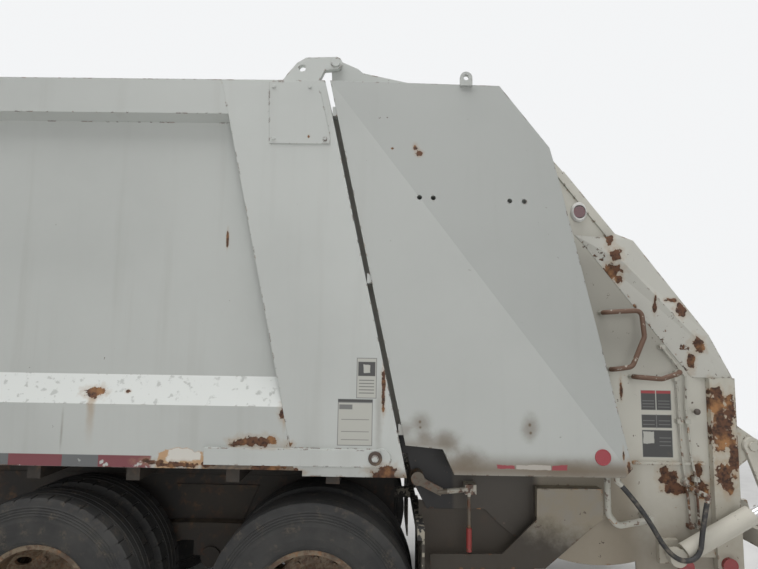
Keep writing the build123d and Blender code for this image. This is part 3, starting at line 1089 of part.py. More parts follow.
floor_half = HOPPER_Y - HOPPER_PLATE
outer_curve, inner_curve = floor_curve(FLOOR_R + FLOOR_WALL), floor_curve(FLOOR_R)
chain = [(outer_curve[0], outer_curve[1]), (outer_curve[1], outer_curve[2], outer_curve[3]), (outer_curve[3], inner_curve[3]),
         (inner_curve[3], inner_curve[2], inner_curve[1]), (inner_curve[1], inner_curve[0]), (inner_curve[0], outer_curve[0])]
hopper_floor = section_plate(chain, -floor_half, floor_half)
sill_top = inner_curve[3][1] + 4
hopper_sill = side_plate([(outer_curve[3][0] - 20, outer_curve[3][1] - 90), inner_curve[3],
                          (R + 2236, sill_top), (R + 2236, sill_top - 150)], -floor_half, floor_half)
keep("hopper_floor", fused(hopper_floor, hopper_sill))

# Tailgate roof: a level panel and a steep hood over the packer
ROOF_THICK = 16.0
roof_line = [(GATE_TOP_X, BODY_TOP_Z), (R + 973, 3300), (R + 1350, 2850), (R + 1627, 2496)]
roof_under = [(R + 1612, 2487), (R + 1337, 2841), (R + 965, 3300 - ROOF_THICK), (GATE_TOP_X + 4, BODY_TOP_Z - ROOF_THICK)]
keep("tailgate_roof", side_plate(roof_line + roof_under, -floor_half, floor_half))

# Rear posts, which carry the lift and, at the foot, a tread plate for the crew
LIFT_BRACKET = 26.0
STEP_TREAD = 32.0


def rear_post(side):
    y_in, y_out = side * HOPPER_Y, side * POST_OUT_Y
    post = block(POST_X, POST_X + POST_WIDTH, y_in, y_out, POST_LOW_Z, POST_TOP_Z)
    bracket_points = [(POST_X + POST_WIDTH - 5, LIFT_Z - 120), (POST_X + POST_WIDTH - 5, LIFT_Z + 110), (LIFT_X + 40, LIFT_Z + 30),
                      (LIFT_X + 40, LIFT_Z - 30)]
    bracket = side_plate(bracket_points, y_in, side * (HOPPER_Y + LIFT_BRACKET))
    bracket = bracket + cross_bar(LIFT_X, LIFT_Z, 44.0, y_in, side * (HOPPER_Y + LIFT_BRACKET))
    pin = cross_bar(LIFT_X, LIFT_Z, 24.0, y_in, side * (HOPPER_Y + LIFT_BRACKET + 40))
    base = block(LIFT_BASE_X - 50, LIFT_BASE_X + 50, y_in, side * (HOPPER_Y + 30), LIFT_BASE_Z - 60, LIFT_BASE_Z + 60)
    base_pin = cross_bar(LIFT_BASE_X, LIFT_BASE_Z, 24.0, y_in, side * (LIFT_CYL_Y - LIFT_ROD_R - SEAT))
    link = block(LIFT_BASE_X, POST_X + 10, y_in, side * (HOPPER_Y + 20), LIFT_BASE_Z - 30, LIFT_BASE_Z + 30)
    tread = block(POST_X - 190, POST_X + 200, side * (HOPPER_Y - 330), side * (POST_OUT_Y + 20),
                  POST_LOW_Z - STEP_TREAD, POST_LOW_Z)
    return fused(post, bracket, pin, base, base_pin, link, tread)


keep("rear_posts", *both_sides(rear_post))

# Hopper brackets: a plate that stands off each side on three flanges, with an arm to the front
GUSSET_THICK = 14.0
GUSSET_OUT_Y = 1100.0


def gusset(side):
    outline = [(R + x, z) for x, z in ((1156, 1131), (1494, 1135), (1498, 985), (1425, 930), (1191, 734), (603, 722),
                                       (603, 796), (972, 803), (1153, 974))]
    y_root, y_in = side * (HOPPER_Y - 1), side * (GUSSET_OUT_Y - GUSSET_THICK)
    plate = side_plate(outline, y_in, side * GUSSET_OUT_Y)
    y_lap = y_in + side
    top_flange = block(R + 1157, R + 1494, y_root, y_lap, 1131 - GUSSET_THICK, 1131)
    front_flange = block(R + 1157, R + 1157 + GUSSET_THICK, y_root, y_lap, 980, 1131)
    rear_flange = block(R + 1494 - GUSSET_THICK, R + 1494, y_root, y_lap, 987, 1131)
    return fused(plate, top_flange, front_flange, rear_flange)


keep("hopper_sides", *[hopper_side(side) + gusset(side) for side in (-1, 1)])

# Marker lamps on the tailgate's sides and lamp clusters under the sill
lamps = []
for side in (-1, 1):
    for lamp_x, lamp_z, lamp_r, base_y in ((R + 1945, 732, 40.0, HOPPER_Y), (R + 2150, 757, 38.0, POST_OUT_Y),
                                           (R + 1430, 2616, 33.0, HOPPER_Y)):
        lamps.append(cross_bar(lamp_x, lamp_z, lamp_r, side * base_y, side * (base_y + 22)))
    lamps.append(block(POST_X + POST_WIDTH, POST_X + POST_WIDTH + 34, side * (HOPPER_Y - 190), side * (POST_OUT_Y), 560, 650))
keep("tail_lamps", *lamps)

# Grab rails on each side of the hopper, with the steel lines that run down beside them
RAIL_R = 13.0
RAIL_BEND = 34.0
LINE_R = 6.0
LINE_BEND = 25.0
LINE_OUT = 22.0
PIPE_R = 16.0
PIPE_BEND = 40.0


def on_hopper(side, points, out):
    """Points of a side view, (x from the rear axle, z), at a distance out from the hopper's side."""
    return [(R + x, side * (HOPPER_Y + out), z) for x, z in points]


def rail_on_feet(side, points, out):
    """A rail that stands off the side on a foot at each end."""
    feet = on_hopper(side, (points[0], points[-1]), 0.0)
    return bent_tube([feet[0], *on_hopper(side, points, out), feet[1]], RAIL_R, RAIL_BEND)


def steel_line(side, points, clamps):
    """A thin line along the side, held by clamps at the places given."""
    line = bent_tube(on_hopper(side, points, LINE_OUT), LINE_R, LINE_BEND)
    for clamp_x, clamp_z in clamps:
        line = line + block(R + clamp_x - 15, R + clamp_x + 15, side * HOPPER_Y, side * (HOPPER_Y + LINE_OUT + 10),
                            clamp_z - 11, clamp_z + 11)
    return line


def grab_rails(side):
    """The two rails, two steel lines with their clamps, and the pipe below the cover."""
    upper = rail_on_feet(side, ((1537, 2053), (1730, 2066), (1742, 1925), (1672, 1765), (1572, 1749)), 75.0)
    lower = rail_on_feet(side, ((1690, 1712), (1825, 1703), (1935, 1740)), 75.0)
    front_line = steel_line(side, ((1930, 1715), (1934, 1560), (1944, 1290), (1966, 1073), (1974, 925)),
                            ((1930, 1703), (1937, 1478), (1955, 1164), (1973, 940)))
    rear_line = steel_line(side, ((1850, 1883), (1981, 1713), (1973, 1570), (1990, 1290), (2012, 1180), (2018, 925)),
                           ((1858, 1873), (1979, 1478), (2012, 1178), (2018, 940)))
    pipe = bent_tube(on_hopper(side, ((1520, COVER_LOW_Z - SEAT), (1520, 1010), (1566, 952), (1734, 985)), 80.0),
                     PIPE_R, PIPE_BEND)
    pipe = pipe + block(R + 1712, R + 1746, side * HOPPER_Y, side * (HOPPER_Y + 80 + PIPE_R), 962, 1006)
    return [upper, lower, front_line, rear_line, pipe]


# Gate locks: a link from a boss to a clamp block, with a long handle hanging from it
LOCK_Y = 1100.0


def gate_lock(side):
    y_root, y = side * HOPPER_Y, side * LOCK_Y
    boss = cross_bar(R + 536, 1172, 35.0, y_root, side * (LOCK_Y + 14))
    link = side_plate([(R + 528, 1146), (R + 528, 1194), (R + 668, 1124), (R + 656, 1086)], y - side * 8, y + side * 8)
    clamp = block(R + 782, R + 840, y_root, y + side * 12, 1096, 1146)
    screw = rod((R + 640, y, 1104), (R + 800, y, 1120), 13.0)
    handle = rod((R + 803, y, 1110), (R + 803, y, 820), 9.0)
    grip = rod((R + 803, y, 928), (R + 803, y, 812), 14.0)
    return fused(boss, link, clamp, screw, handle, grip)


keep("gate_locks", *both_sides(gate_lock))

# Hydraulic hoses: from a fitting under the cover, past the lift's barrel, to a fitting on the post
HOSE_R = 12.5
HOSE_Y = 1198.0
HOSE_FITTING_R = 14.0
HOSE_BEND_SHARE = 0.45
HOSE_RUN = ((1552.0, 1176.0), (1652.0, 1068.0), (1788.0, 822.0), (1928.0, 822.0), (1950.0, 985.0), (1976.0, 1100.0))
ELBOW = 30.0


def bend_radii(points):
    """The largest even bends that a route's runs allow: a share of the shorter run at each corner."""
    radii = []
    for before, corner, after in zip(points, points[1:], points[2:]):
        run_in, run_out = Vector(*corner) - Vector(*before), Vector(*after) - Vector(*corner)
        half_turn = radians(run_in.get_angle(run_out)) / 2
        radii.append(HOSE_BEND_SHARE * min(run_in.length, run_out.length) * cos(half_turn) / sin(half_turn))
    return radii


def elbow(end, inner, root):
    """A fitting that turns from its root to face the hose's end."""
    end, inner = Vector(*end), Vector(*inner)
    corner = end + (end - inner).normalized() * ELBOW
    root = Vector(*[place if fixed is None else fixed for place, fixed in zip(corner, root)])
    joint = Pos(*corner) * Sphere(HOSE_FITTING_R)
    return fused(rod(tuple(corner), tuple(end), HOSE_FITTING_R), joint, rod(tuple(root), tuple(corner), HOSE_FITTING_R))


fittings = []
for side_name, side in SIDES:
    hose_points = [(R + x, side * HOSE_Y, z) for x, z in HOSE_RUN]
    hose_radii = bend_radii(hose_points)
    print(f"hose_{side_name} bend radii:", [round(value, 1) for value in hose_radii])
    keep(f"hose_{side_name}", bent_tube(hose_points, HOSE_R, hose_radii))
    fittings.append(elbow(hose_points[0], hose_points[1], (None, None, COVER_LOW_Z - SEAT)))
    fittings.append(elbow(hose_points[-1], hose_points[-2], (None, side * HOPPER_Y, None)))
keep("grab_rails", *grab_rails(-1), *grab_rails(1), *fittings)

# Packer tracks on the hopper's inner sides
track_dir = (cos(radians(TRACK_ANGLE)), -sin(radians(TRACK_ANGLE)))
track_normal = (sin(radians(TRACK_ANGLE)), cos(radians(TRACK_ANGLE)))
SHOE_HALF = 45.0
TRACK_BAR = 22.0
TRACK_DEPTH = 32.0


def on_track(up, out):
    """A point up the track from the blade's rest pivot, and out towards the rear."""
    return (BLADE_PIVOT_X - track_dir[0] * up + track_normal[0] * out,
            BLADE_PIVOT_Z - track_dir[1] * up + track_normal[1] * out)


def packer_track(side):
    bars = []
    y_in, y_out = side * (floor_half - TRACK_DEPTH), side * floor_half
    for out in (SHOE_HALF + SEAT, -SHOE_HALF - SEAT - TRACK_BAR):
        outline = [on_track(740, out), on_track(740, out + TRACK_BAR), on_track(-TRACK_TRAVEL + 60, out + TRACK_BAR),
                   on_track(-TRACK_TRAVEL + 60, out)]
        bars.append(side_plate(outline, y_in, y_out))
    return bars


keep("packer_tracks", *packer_track(-1), *packer_track(1))

# Packer carriage: a ribbed plate on four shoes, with end cheeks for the blade's pivot
CARRIAGE_LENGTH = 690.0
CARRIAGE_HALF = 80.0
CHEEK_IN = 905.0
CHEEK_OUT = 945.0
plate_half = floor_half - TRACK_DEPTH - 8.0
carriage_points = [on_track(95, -CARRIAGE_HALF), on_track(95, CARRIAGE_HALF), on_track(CARRIAGE_LENGTH, CARRIAGE_HALF),
                   on_track(CARRIAGE_LENGTH, -CARRIAGE_HALF)]
carriage = side_plate(carriage_points, -plate_half, plate_half)
for bay in range(6):
    bay_width = (2 * plate_half - 60.0) / 6
    y0 = -plate_half + 30 + bay * bay_width + 15
    pocket = [on_track(150, -CARRIAGE_HALF + 30), on_track(150, CARRIAGE_HALF + 5),
              on_track(CARRIAGE_LENGTH - 50, CARRIAGE_HALF + 5), on_track(CARRIAGE_LENGTH - 50, -CARRIAGE_HALF + 30)]
    carriage = carriage - side_plate(pocket, y0, y0 + bay_width - 30)
for side in (-1, 1):
    cheek = [on_track(-50, -60), on_track(-50, 60), on_track(150, 60), on_track(150, -60)]
    y_in, y_out = side * CHEEK_IN, side * CHEEK_OUT
    cheek_plate = side_plate(cheek, y_in, y_out) - cross_bar(BLADE_PIVOT_X, BLADE_PIVOT_Z, BLADE_PIVOT_R + RUN,
                                                             y_in - side, y_out + side)
    carriage = carriage + cheek_plate
    for up in (130, 520):
        shoe = [on_track(up, -SHOE_HALF), on_track(up, SHOE_HALF), on_track(up + 150, SHOE_HALF), on_track(up + 150, -SHOE_HALF)]
        carriage = carriage + side_plate(shoe, side * (plate_half - 5), side * (floor_half - SEAT - 2))
keep("packer_carriage", carriage)

# Packer blade: a tapered scoop plate on its cross tube
blade_dir = (cos(radians(BLADE_REST_ANGLE)), sin(radians(BLADE_REST_ANGLE)))


def on_blade(reach, out):
    return (BLADE_PIVOT_X + blade_dir[0] * reach - blade_dir[1] * out,
            BLADE_PIVOT_Z + blade_dir[1] * reach + blade_dir[0] * out)


BLADE_HALF = CHEEK_IN - 6.0
blade_points = [on_blade(0, 62), on_blade(BLADE_REACH - 160, 48), on_blade(BLADE_REACH - 12, 5), on_blade(BLADE_REACH - 12, -25),
                on_blade(BLADE_REACH - 200, -48), on_blade(0, -62)]
blade = side_plate(blade_points, -BLADE_HALF, BLADE_HALF)
blade = blade + cross_bar(BLADE_PIVOT_X, BLADE_PIVOT_Z, 62.0, -BLADE_HALF, BLADE_HALF)
blade = blade + cross_bar(BLADE_PIVOT_X, BLADE_PIVOT_Z, BLADE_PIVOT_R, -CHEEK_OUT, CHEEK_OUT)
keep("packer_blade", blade)

# Bin lift: two arms on the posts' pins, a comb bar with teeth, and a backing plate
arm_in = HOPPER_Y + LIFT_BRACKET + SEAT
ARM_THICK = 24.0
arm_out = arm_in + ARM_THICK
COMB_Z = 830.0
COMB_TEETH = 15
LIFT_REAR_X = REAR_X
lift = block(LIFT_X + 40, LIFT_REAR_X - 60, -arm_out, arm_out, COMB_Z, COMB_Z + 90)
tooth_pitch = 2 * (arm_in - 120) / (COMB_TEETH - 1)
for index in range(COMB_TEETH):
    y = -(arm_in - 120) + index * tooth_pitch
    tooth = side_plate([(LIFT_REAR_X - 110, COMB_Z + 80), (LIFT_REAR_X - 70, COMB_Z + 190), (LIFT_REAR_X - 40, COMB_Z + 190),
                        (LIFT_REAR_X, COMB_Z + 20), (LIFT_REAR_X - 65, COMB_Z + 5)], y - 14, y + 14)
    lift = lift + tooth
eye_x, eye_z = LIFT_X + LIFT_EYE_DX, LIFT_Z + LIFT_EYE_DZ
for side in (-1, 1):
    y_in, y_out = side * arm_in, side * arm_out
    arm_points = [(LIFT_X - 44, LIFT_Z), (LIFT_X + 44, LIFT_Z), (eye_x + 50, eye_z + 20), (LIFT_REAR_X - 50, COMB_Z + 80),
                  (LIFT_REAR_X - 60, COMB_Z), (LIFT_X + 30, COMB_Z), (eye_x - 60, eye_z)]
    arm = side_plate(arm_points, y_in, y_out) + cross_bar(LIFT_X, LIFT_Z, 44.0, y_in, y_out)
    arm = arm - cross_bar(LIFT_X, LIFT_Z, 24.0 + RUN, y_in - side, y_out + side)
    arm = arm + cross_bar(eye_x, eye_z, 22.0, y_in, side * (LIFT_CYL_Y - LIFT_ROD_R - SEAT))
    lift = lift + arm
keep("lift_frame", lift)


# Lift cylinders: a barrel on the hopper's base pin and a rod to the arm's pin
cylinder_run = (eye_x - LIFT_BASE_X, eye_z - LIFT_BASE_Z)
cylinder_length = hypot(*cylinder_run)
cylinder_dir = (cylinder_run[0] / cylinder_length, cylinder_run[1] / cylinder_length)


def along_cylinder(side, distance):
    return (LIFT_BASE_X + cylinder_dir[0] * distance, side * LIFT_CYL_Y, LIFT_BASE_Z + cylinder_dir[1] * distance)


def lift_barrel(side):
    tube = rod(along_cylinder(side, 45), along_cylinder(side, LIFT_BARREL_LENGTH), LIFT_BARREL_R)
    bore = rod(along_cylinder(side, 90), along_cylinder(side, LIFT_BARREL_LENGTH + 5), LIFT_ROD_R + RUN)
    y0, y1 = side * (LIFT_CYL_Y - LIFT_ROD_R), side * (LIFT_CYL_Y + LIFT_ROD_R)
    eye = cross_bar(LIFT_BASE_X, LIFT_BASE_Z, 44.0, y0, y1)
    neck = rod(along_cylinder(side, 10), along_cylinder(side, 60), 22.0)
    return fused(tube - bore, eye, neck)


def lift_rod(side):
    stem = rod(along_cylinder(side, 95), along_cylinder(side, cylinder_length - 10), LIFT_ROD_R)
    y0, y1 = side * (LIFT_CYL_Y - LIFT_ROD_R), side * (LIFT_CYL_Y + LIFT_ROD_R)
    return stem + cross_bar(eye_x, eye_z, 42.0, y0, y1)


for side_name, side in SIDES:
    keep(f"lift_barrel_{side_name}", lift_barrel(side))
    keep(f"lift_rod_{side_name}", lift_rod(side))

os.makedirs("parts", exist_ok=True)
for name, shape in nodes.items():
    shape.label = name
    export_step(shape, f"parts/{name}.step")
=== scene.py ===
from math import cos, pi, sin

import bmesh
import bpy
from mathutils import Matrix, Vector


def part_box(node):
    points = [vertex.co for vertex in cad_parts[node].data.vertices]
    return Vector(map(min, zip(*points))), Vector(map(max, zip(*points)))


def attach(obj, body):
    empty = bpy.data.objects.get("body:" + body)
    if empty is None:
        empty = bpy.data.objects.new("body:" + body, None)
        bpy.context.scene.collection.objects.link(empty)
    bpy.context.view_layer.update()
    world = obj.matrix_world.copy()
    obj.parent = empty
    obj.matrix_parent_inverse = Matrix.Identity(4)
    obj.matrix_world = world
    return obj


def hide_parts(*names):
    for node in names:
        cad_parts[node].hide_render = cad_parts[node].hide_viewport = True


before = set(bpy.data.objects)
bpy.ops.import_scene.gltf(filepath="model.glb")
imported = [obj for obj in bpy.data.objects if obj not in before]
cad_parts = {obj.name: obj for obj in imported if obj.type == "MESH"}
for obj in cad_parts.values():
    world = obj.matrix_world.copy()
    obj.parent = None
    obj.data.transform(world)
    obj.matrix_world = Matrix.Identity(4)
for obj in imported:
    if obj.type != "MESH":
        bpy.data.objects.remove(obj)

scene = bpy.context.scene
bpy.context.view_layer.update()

# The viewpoint: a hand-held camera near the ground beside the tandem axles, looking
# slightly up at the join of body and tailgate, with a wide lens. Heading, tilt and
# roll are the ones at which the rails and wheels fall in their places.
VIEW_PLACE = Vector((2.491, -4.098, 1.856))
VIEW_HEADING = -0.0108
VIEW_RISE = 0.1091
VIEW_ROLL = 0.016
VIEW_LENS = 26.46
SENSOR = 36.0
VIEW_REACH = 200.0

ahead = Vector((sin(VIEW_HEADING) * cos(VIEW_RISE), cos(VIEW_HEADING) * cos(VIEW_RISE), sin(VIEW_RISE)))
level_right = Vector((cos(VIEW_HEADING), -sin(VIEW_HEADING), 0))
level_up = level_right.cross(ahead)
view_right = level_right * cos(VIEW_ROLL) + level_up * sin(VIEW_ROLL)
view_up = level_up * cos(VIEW_ROLL) - level_right * sin(VIEW_ROLL)
view = bpy.data.objects.new("view", bpy.data.cameras.new("view"))
view.data.lens = VIEW_LENS
view.data.sensor_width = SENSOR
view.data.clip_end = VIEW_REACH
view_turn = Matrix((view_right, view_up, -ahead)).transposed().to_4x4()
view.matrix_world = Matrix.Translation(VIEW_PLACE) @ view_turn
scene.collection.objects.link(view)
scene.camera = view
scene.view_settings.view_transform = "Standard"

# The lift's hoses: one reinforced rubber hose on each side, which hangs in a slack bend
# from a fitting under the cover to one on the hopper's side and brings oil to the bin
# lift. The rubber is black, with the fine lines of its cloth wrap and dried mud.
HOSE_OUT = 1.198
HOSE_WIDTH = 0.025
HOSE_ROUTE = (
    # x, z
    (3.692, 1.176), (3.792, 1.068), (3.928, 0.822), (4.068, 0.822), (4.090, 0.985), (4.116, 1.100),
)
HOSE_ROUNDNESS = 5
HOSE_SMOOTHNESS = 16
HOSE_WRAP_RATE = 900.0
HOSE_BLACK = (0.020, 0.020, 0.021, 1)
HOSE_SOIL = (0.12, 0.105, 0.085, 1)
SIDES = (
    # name, sign of y
    ("left", -1), ("right", 1),
)


class Finish:
    """A finish mixed from nodes over a piece's own coordinates, in metres."""

    EDGE_SAMPLES = 4
    EDGE_TURN = (0.985, 0.90)

    def __init__(self, name):
        self.material = bpy.data.materials.new(name)
        self.material.use_nodes = True
        self.tree = self.material.node_tree
        self.shader = self.tree.nodes["Principled BSDF"]
        coordinates = self.tree.nodes.new("ShaderNodeTexCoord")
        self.place = coordinates.outputs["Object"]
        self.normal = coordinates.outputs["Normal"]
        self.x, self.y, self.z = self.parts(self.place)

    def parts(self, vector):
        split = self.tree.nodes.new("ShaderNodeSeparateXYZ")
        self.tree.links.new(vector, split.inputs[0])
        return split.outputs[0], split.outputs[1], split.outputs[2]

    def feed(self, value, socket):
        """Put a number, a colour or another node's output into a socket."""
        if isinstance(value, bpy.types.NodeSocket):
            self.tree.links.new(value, socket)
        else:
            socket.default_value = value

    def calc(self, operation, first, second=0.0, third=0.0):
        """One step of arithmetic on numbers or sockets."""
        node = self.tree.nodes.new("ShaderNodeMath")
        node.operation = operation
        for value, socket in zip((first, second, third), node.inputs):
            self.feed(value, socket)
        return node.outputs[0]

    def plus(self, first, second):
        return self.calc("ADD", first, second)

    def less(self, first, second):
        return self.calc("SUBTRACT", first, second)

    def times(self, first, second):
        return self.calc("MULTIPLY", first, second)

    def over(self, first, second):
        return self.calc("DIVIDE", first, second)

    def times_plus(self, first, second, more):
        return self.calc("MULTIPLY_ADD", first, second, more)

    def ripple(self, value, rate):
        """Fine even lines: a sine wave along a value, with so many radians to the metre."""
        return self.calc("SINE", self.times(value, rate))

    def noise(self, scale, detail=5.0, stretch=(1, 1, 1), shift=0.0, roughness=0.55):
        mapping = self.tree.nodes.new("ShaderNodeMapping")
        self.tree.links.new(self.place, mapping.inputs["Vector"])
        mapping.inputs["Scale"].default_value = stretch
        mapping.inputs["Location"].default_value = (shift, shift * 0.7, shift * 1.3)
        node = self.tree.nodes.new("ShaderNodeTexNoise")
        node.inputs["Scale"].default_value = scale
        node.inputs["Detail"].default_value = detail
        node.inputs["Roughness"].default_value = roughness
        self.tree.links.new(mapping.outputs[0], node.inputs["Vector"])
        return node.outputs["Fac"]

    def rise(self, value, low, high):
        """0 below low, 1 above high, smooth between them. A high below low turns it round."""
        node = self.tree.nodes.new("ShaderNodeMapRange")
        node.interpolation_type = "SMOOTHSTEP"
        self.feed(value, node.inputs[0])
        turned_round = low > high
        self.feed(high if turned_round else low, node.inputs[1])
        self.feed(low if turned_round else high, node.inputs[2])
        node.inputs[3].default_value = 1.0 if turned_round else 0.0
        node.inputs[4].default_value = 0.0 if turned_round else 1.0
        return node.outputs[0]

    def mix(self, under, over, amount):
        node = self.tree.nodes.new("ShaderNodeMix")
        node.data_type = "RGBA"
        self.feed(amount, node.inputs[0])
        self.feed(under, node.inputs[6])
        self.feed(over, node.inputs[7])
        return node.outputs[2]

    def shaken(self, value, noise, amount):
        """A distance made uneven by a noise."""
        return self.times_plus(self.less(noise, 0.5), amount, value)

    def oval(self, x, z, wide, high):
        """How far a point is from a place in the side view: 1 on an oval round it."""
        across = self.over(self.less(self.x, x), wide)
        along = self.over(self.less(self.z, z), high)
        return self.calc("SQRT", self.times_plus(across, across, self.times(along, along)))

    def between(self, value, low, high, fade=0.002):
        """1 where a value lies between two others."""
        far = self.calc("ABSOLUTE", self.less(value, (low + high) / 2))
        return self.rise(far, (high - low) / 2 + fade, (high - low) / 2 - fade)

    def patch(self, x0, x1, z0, z1, noise=None, ragged=0.0, fade=0.002):
        """1 inside a rectangle of the side view, with a soft or a ragged edge."""
        across = self.calc("ABSOLUTE", self.less(self.x, (x0 + x1) / 2))
        along = self.calc("ABSOLUTE", self.less(self.z, (z0 + z1) / 2))
        out = self.calc("MAXIMUM", self.less(across, (x1 - x0) / 2), self.less(along, (z1 - z0) / 2))
        if noise is not None:
            out = self.shaken(out, noise, ragged)
        return self.rise(out, fade, -fade)

    def rounded(self, radius):
        """The normal as it is where every sharp edge is rounded off."""
        node = self.tree.nodes.new("ShaderNodeBevel")
        node.samples = self.EDGE_SAMPLES
        node.inputs["Radius"].default_value = radius
        return node.outputs[0]

    def edges(self, radius):
        """1 along sharp edges, from how far a rounded normal turns from the true one."""
        true = self.tree.nodes.new("ShaderNodeNewGeometry")
        dot = self.tree.nodes.new("ShaderNodeVectorMath")
        dot.operation = "DOT_PRODUCT"
        self.tree.links.new(self.rounded(radius), dot.inputs[0])
        self.tree.links.new(true.outputs["Normal"], dot.inputs[1])
        return self.rise(dot.outputs["Value"], *self.EDGE_TURN)

    def set(self, colour, roughness=0.5, metallic=0.0, relief=None, depth=0.001, strength=0.4,
            round_edges=0.0):
        """Colour, shine and relief of the whole finish; relief is a height, 0 to 1, over a depth."""
        self.feed(colour, self.shader.inputs["Base Color"])
        self.feed(roughness, self.shader.inputs["Roughness"])
        self.feed(metallic, self.shader.inputs["Metallic"])
        normal = self.rounded(round_edges) if round_edges else None
        if relief is not None:
            bump = self.tree.nodes.new("ShaderNodeBump")
            bump.inputs["Distance"].default_value = depth
            bump.inputs["Strength"].default_value = strength
            self.tree.links.new(relief, bump.inputs["Height"])
            if normal is not None:
                self.tree.links.new(normal, bump.inputs["Normal"])
            normal = bump.outputs[0]
        if normal is not None:
            self.tree.links.new(normal, self.shader.inputs["Normal"])
        return self


def add_piece(name, shape, finish, body):
    """Put a mesh or a curve in its finish, as a piece that moves with a body."""
    shape.materials.append(finish.material)
    piece = bpy.data.objects.new(name, shape)
    scene.collection.objects.link(piece)
    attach(piece, body)
    return piece


hose_rubber = Finish("hose_rubber")
hose_wrap = hose_rubber.ripple(hose_rubber.plus(hose_rubber.x, hose_rubber.z), HOSE_WRAP_RATE)
hose_dirt = hose_rubber.noise(30.0, detail=8.0)
hose_tone = hose_rubber.mix(HOSE_BLACK, HOSE_SOIL, hose_rubber.rise(hose_dirt, 0.48, 0.72))
hose_rubber.set(hose_tone, 0.55, relief=hose_wrap, depth=0.0006)

for side_name, side in SIDES:
    hose_curve = bpy.data.curves.new(f"lift_hose_{side_name}", "CURVE")
    hose_curve.dimensions = "3D"
    hose_curve.bevel_depth = HOSE_WIDTH / 2
    hose_curve.bevel_resolution = HOSE_ROUNDNESS
    hose_curve.resolution_u = HOSE_SMOOTHNESS
    hose_curve.use_fill_caps = True
    hose_line = hose_curve.splines.new("NURBS")
    hose_line.points.add(len(HOSE_ROUTE) - 1)
    for point, (x, z) in zip(hose_line.points, HOSE_ROUTE):
        point.co = (x, side * HOSE_OUT, z, 1)
    hose_line.order_u = 3
    hose_line.use_endpoint_u = True
    hose_piece = add_piece(f"lift_hose_{side_name}", hose_curve, hose_rubber, "tailgate")
    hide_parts(f"hose_{side_name}")

# The studio: a pale level floor that fades into a white surround, which only the camera
# and the shiny surfaces see, and one wide soft lamp overhead with a weaker one on each
# side, so that the tops read lighter than the walls, as under an overcast sky.
FLOOR_HALF = 60.0
FLOOR_COLOUR = (0.70, 0.70, 0.69, 1)
FLOOR_WORN = (0.64, 0.64, 0.63, 1)
FLOOR_FADE = (7.0, 15.0)
SKY_COLOUR = (1.0, 0.99, 0.98, 1)
SKY_STRENGTH = 0.30
SURROUND_COLOUR = (0.90, 0.91, 0.92, 1)
LAMPS = (
    # name, place, aim, size, watts
    ("overhead", (1.0, -1.0, 9.5), (1.0, 0.0, 1.5), 9.0, 980.0),
    ("near_side", (4.0, -10.0, 3.2), (2.0, 0.0, 1.6), 7.0, 200.0),
    ("far_side", (-2.0, 10.0, 4.0), (0.0, 0.0, 1.6), 7.0, 240.0),
)


def seen_share(tree):
    """1 for the rays of the camera and of shiny and clear surfaces, and 0 for the light itself."""
    rays = tree.nodes.new("ShaderNodeLightPath")
    share = rays.outputs["Is Camera Ray"]
    for kind in ("Is Glossy Ray", "Is Transmission Ray"):
        either = tree.nodes.new("ShaderNodeMath")
        either.operation = "MAXIMUM"
        tree.links.new(share, either.inputs[0])
        tree.links.new(rays.outputs[kind], either.inputs[1])
        share = either.outputs[0]
    return share


def join_shaders(tree, share, lit, seen):
    mixer = tree.nodes.new("ShaderNodeMixShader")
    tree.links.new(share, mixer.inputs[0])
    tree.links.new(lit, mixer.inputs[1])
    tree.links.new(seen, mixer.inputs[2])
    return mixer.outputs[0]


scene.world = bpy.data.worlds.new("surround")
scene.world.use_nodes = True
world_tree = scene.world.node_tree
sky = world_tree.nodes["Background"]
sky.inputs[0].default_value = SKY_COLOUR
sky.inputs[1].default_value = SKY_STRENGTH
surround = world_tree.nodes.new("ShaderNodeBackground")
surround.inputs[0].default_value = SURROUND_COLOUR
world_out = world_tree.nodes["World Output"]
world_tree.links.new(join_shaders(world_tree, seen_share(world_tree), sky.outputs[0], surround.outputs[0]),
                     world_out.inputs[0])

floor_mesh = bpy.data.meshes.new("floor")
floor_mesh.from_pydata([(-FLOOR_HALF, -FLOOR_HALF, 0), (FLOOR_HALF, -FLOOR_HALF, 0),
                        (FLOOR_HALF, FLOOR_HALF, 0), (-FLOOR_HALF, FLOOR_HALF, 0)], [], [(0, 1, 2, 3)])
floor = bpy.data.objects.new("floor", floor_mesh)
scene.collection.objects.link(floor)
floor_finish = Finish("pale_floor")
floor_grain = floor_finish.noise(3.0, detail=8.0)
floor_tone = floor_finish.mix(FLOOR_COLOUR, FLOOR_WORN, floor_finish.rise(floor_grain, 0.4, 0.7))
floor_mesh.materials.append(floor_finish.set(floor_tone, roughness=0.8).material)
floor_away = floor_finish.calc("SQRT", floor_finish.times_plus(
    floor_finish.x, floor_finish.x, floor_finish.times(floor_finish.y, floor_finish.y)))
floor_glow = floor_finish.tree.nodes.new("ShaderNodeEmission")
floor_glow.inputs[0].default_value = SURROUND_COLOUR
floor_faded = floor_finish.rise(floor_away, *FLOOR_FADE)
floor_share = floor_finish.times(seen_share(floor_finish.tree), floor_faded)
floor_out = floor_finish.tree.nodes["Material Output"]
floor_finish.tree.links.new(join_shaders(floor_finish.tree, floor_share, floor_finish.shader.outputs[0],
                                         floor_glow.outputs[0]), floor_out.inputs[0])

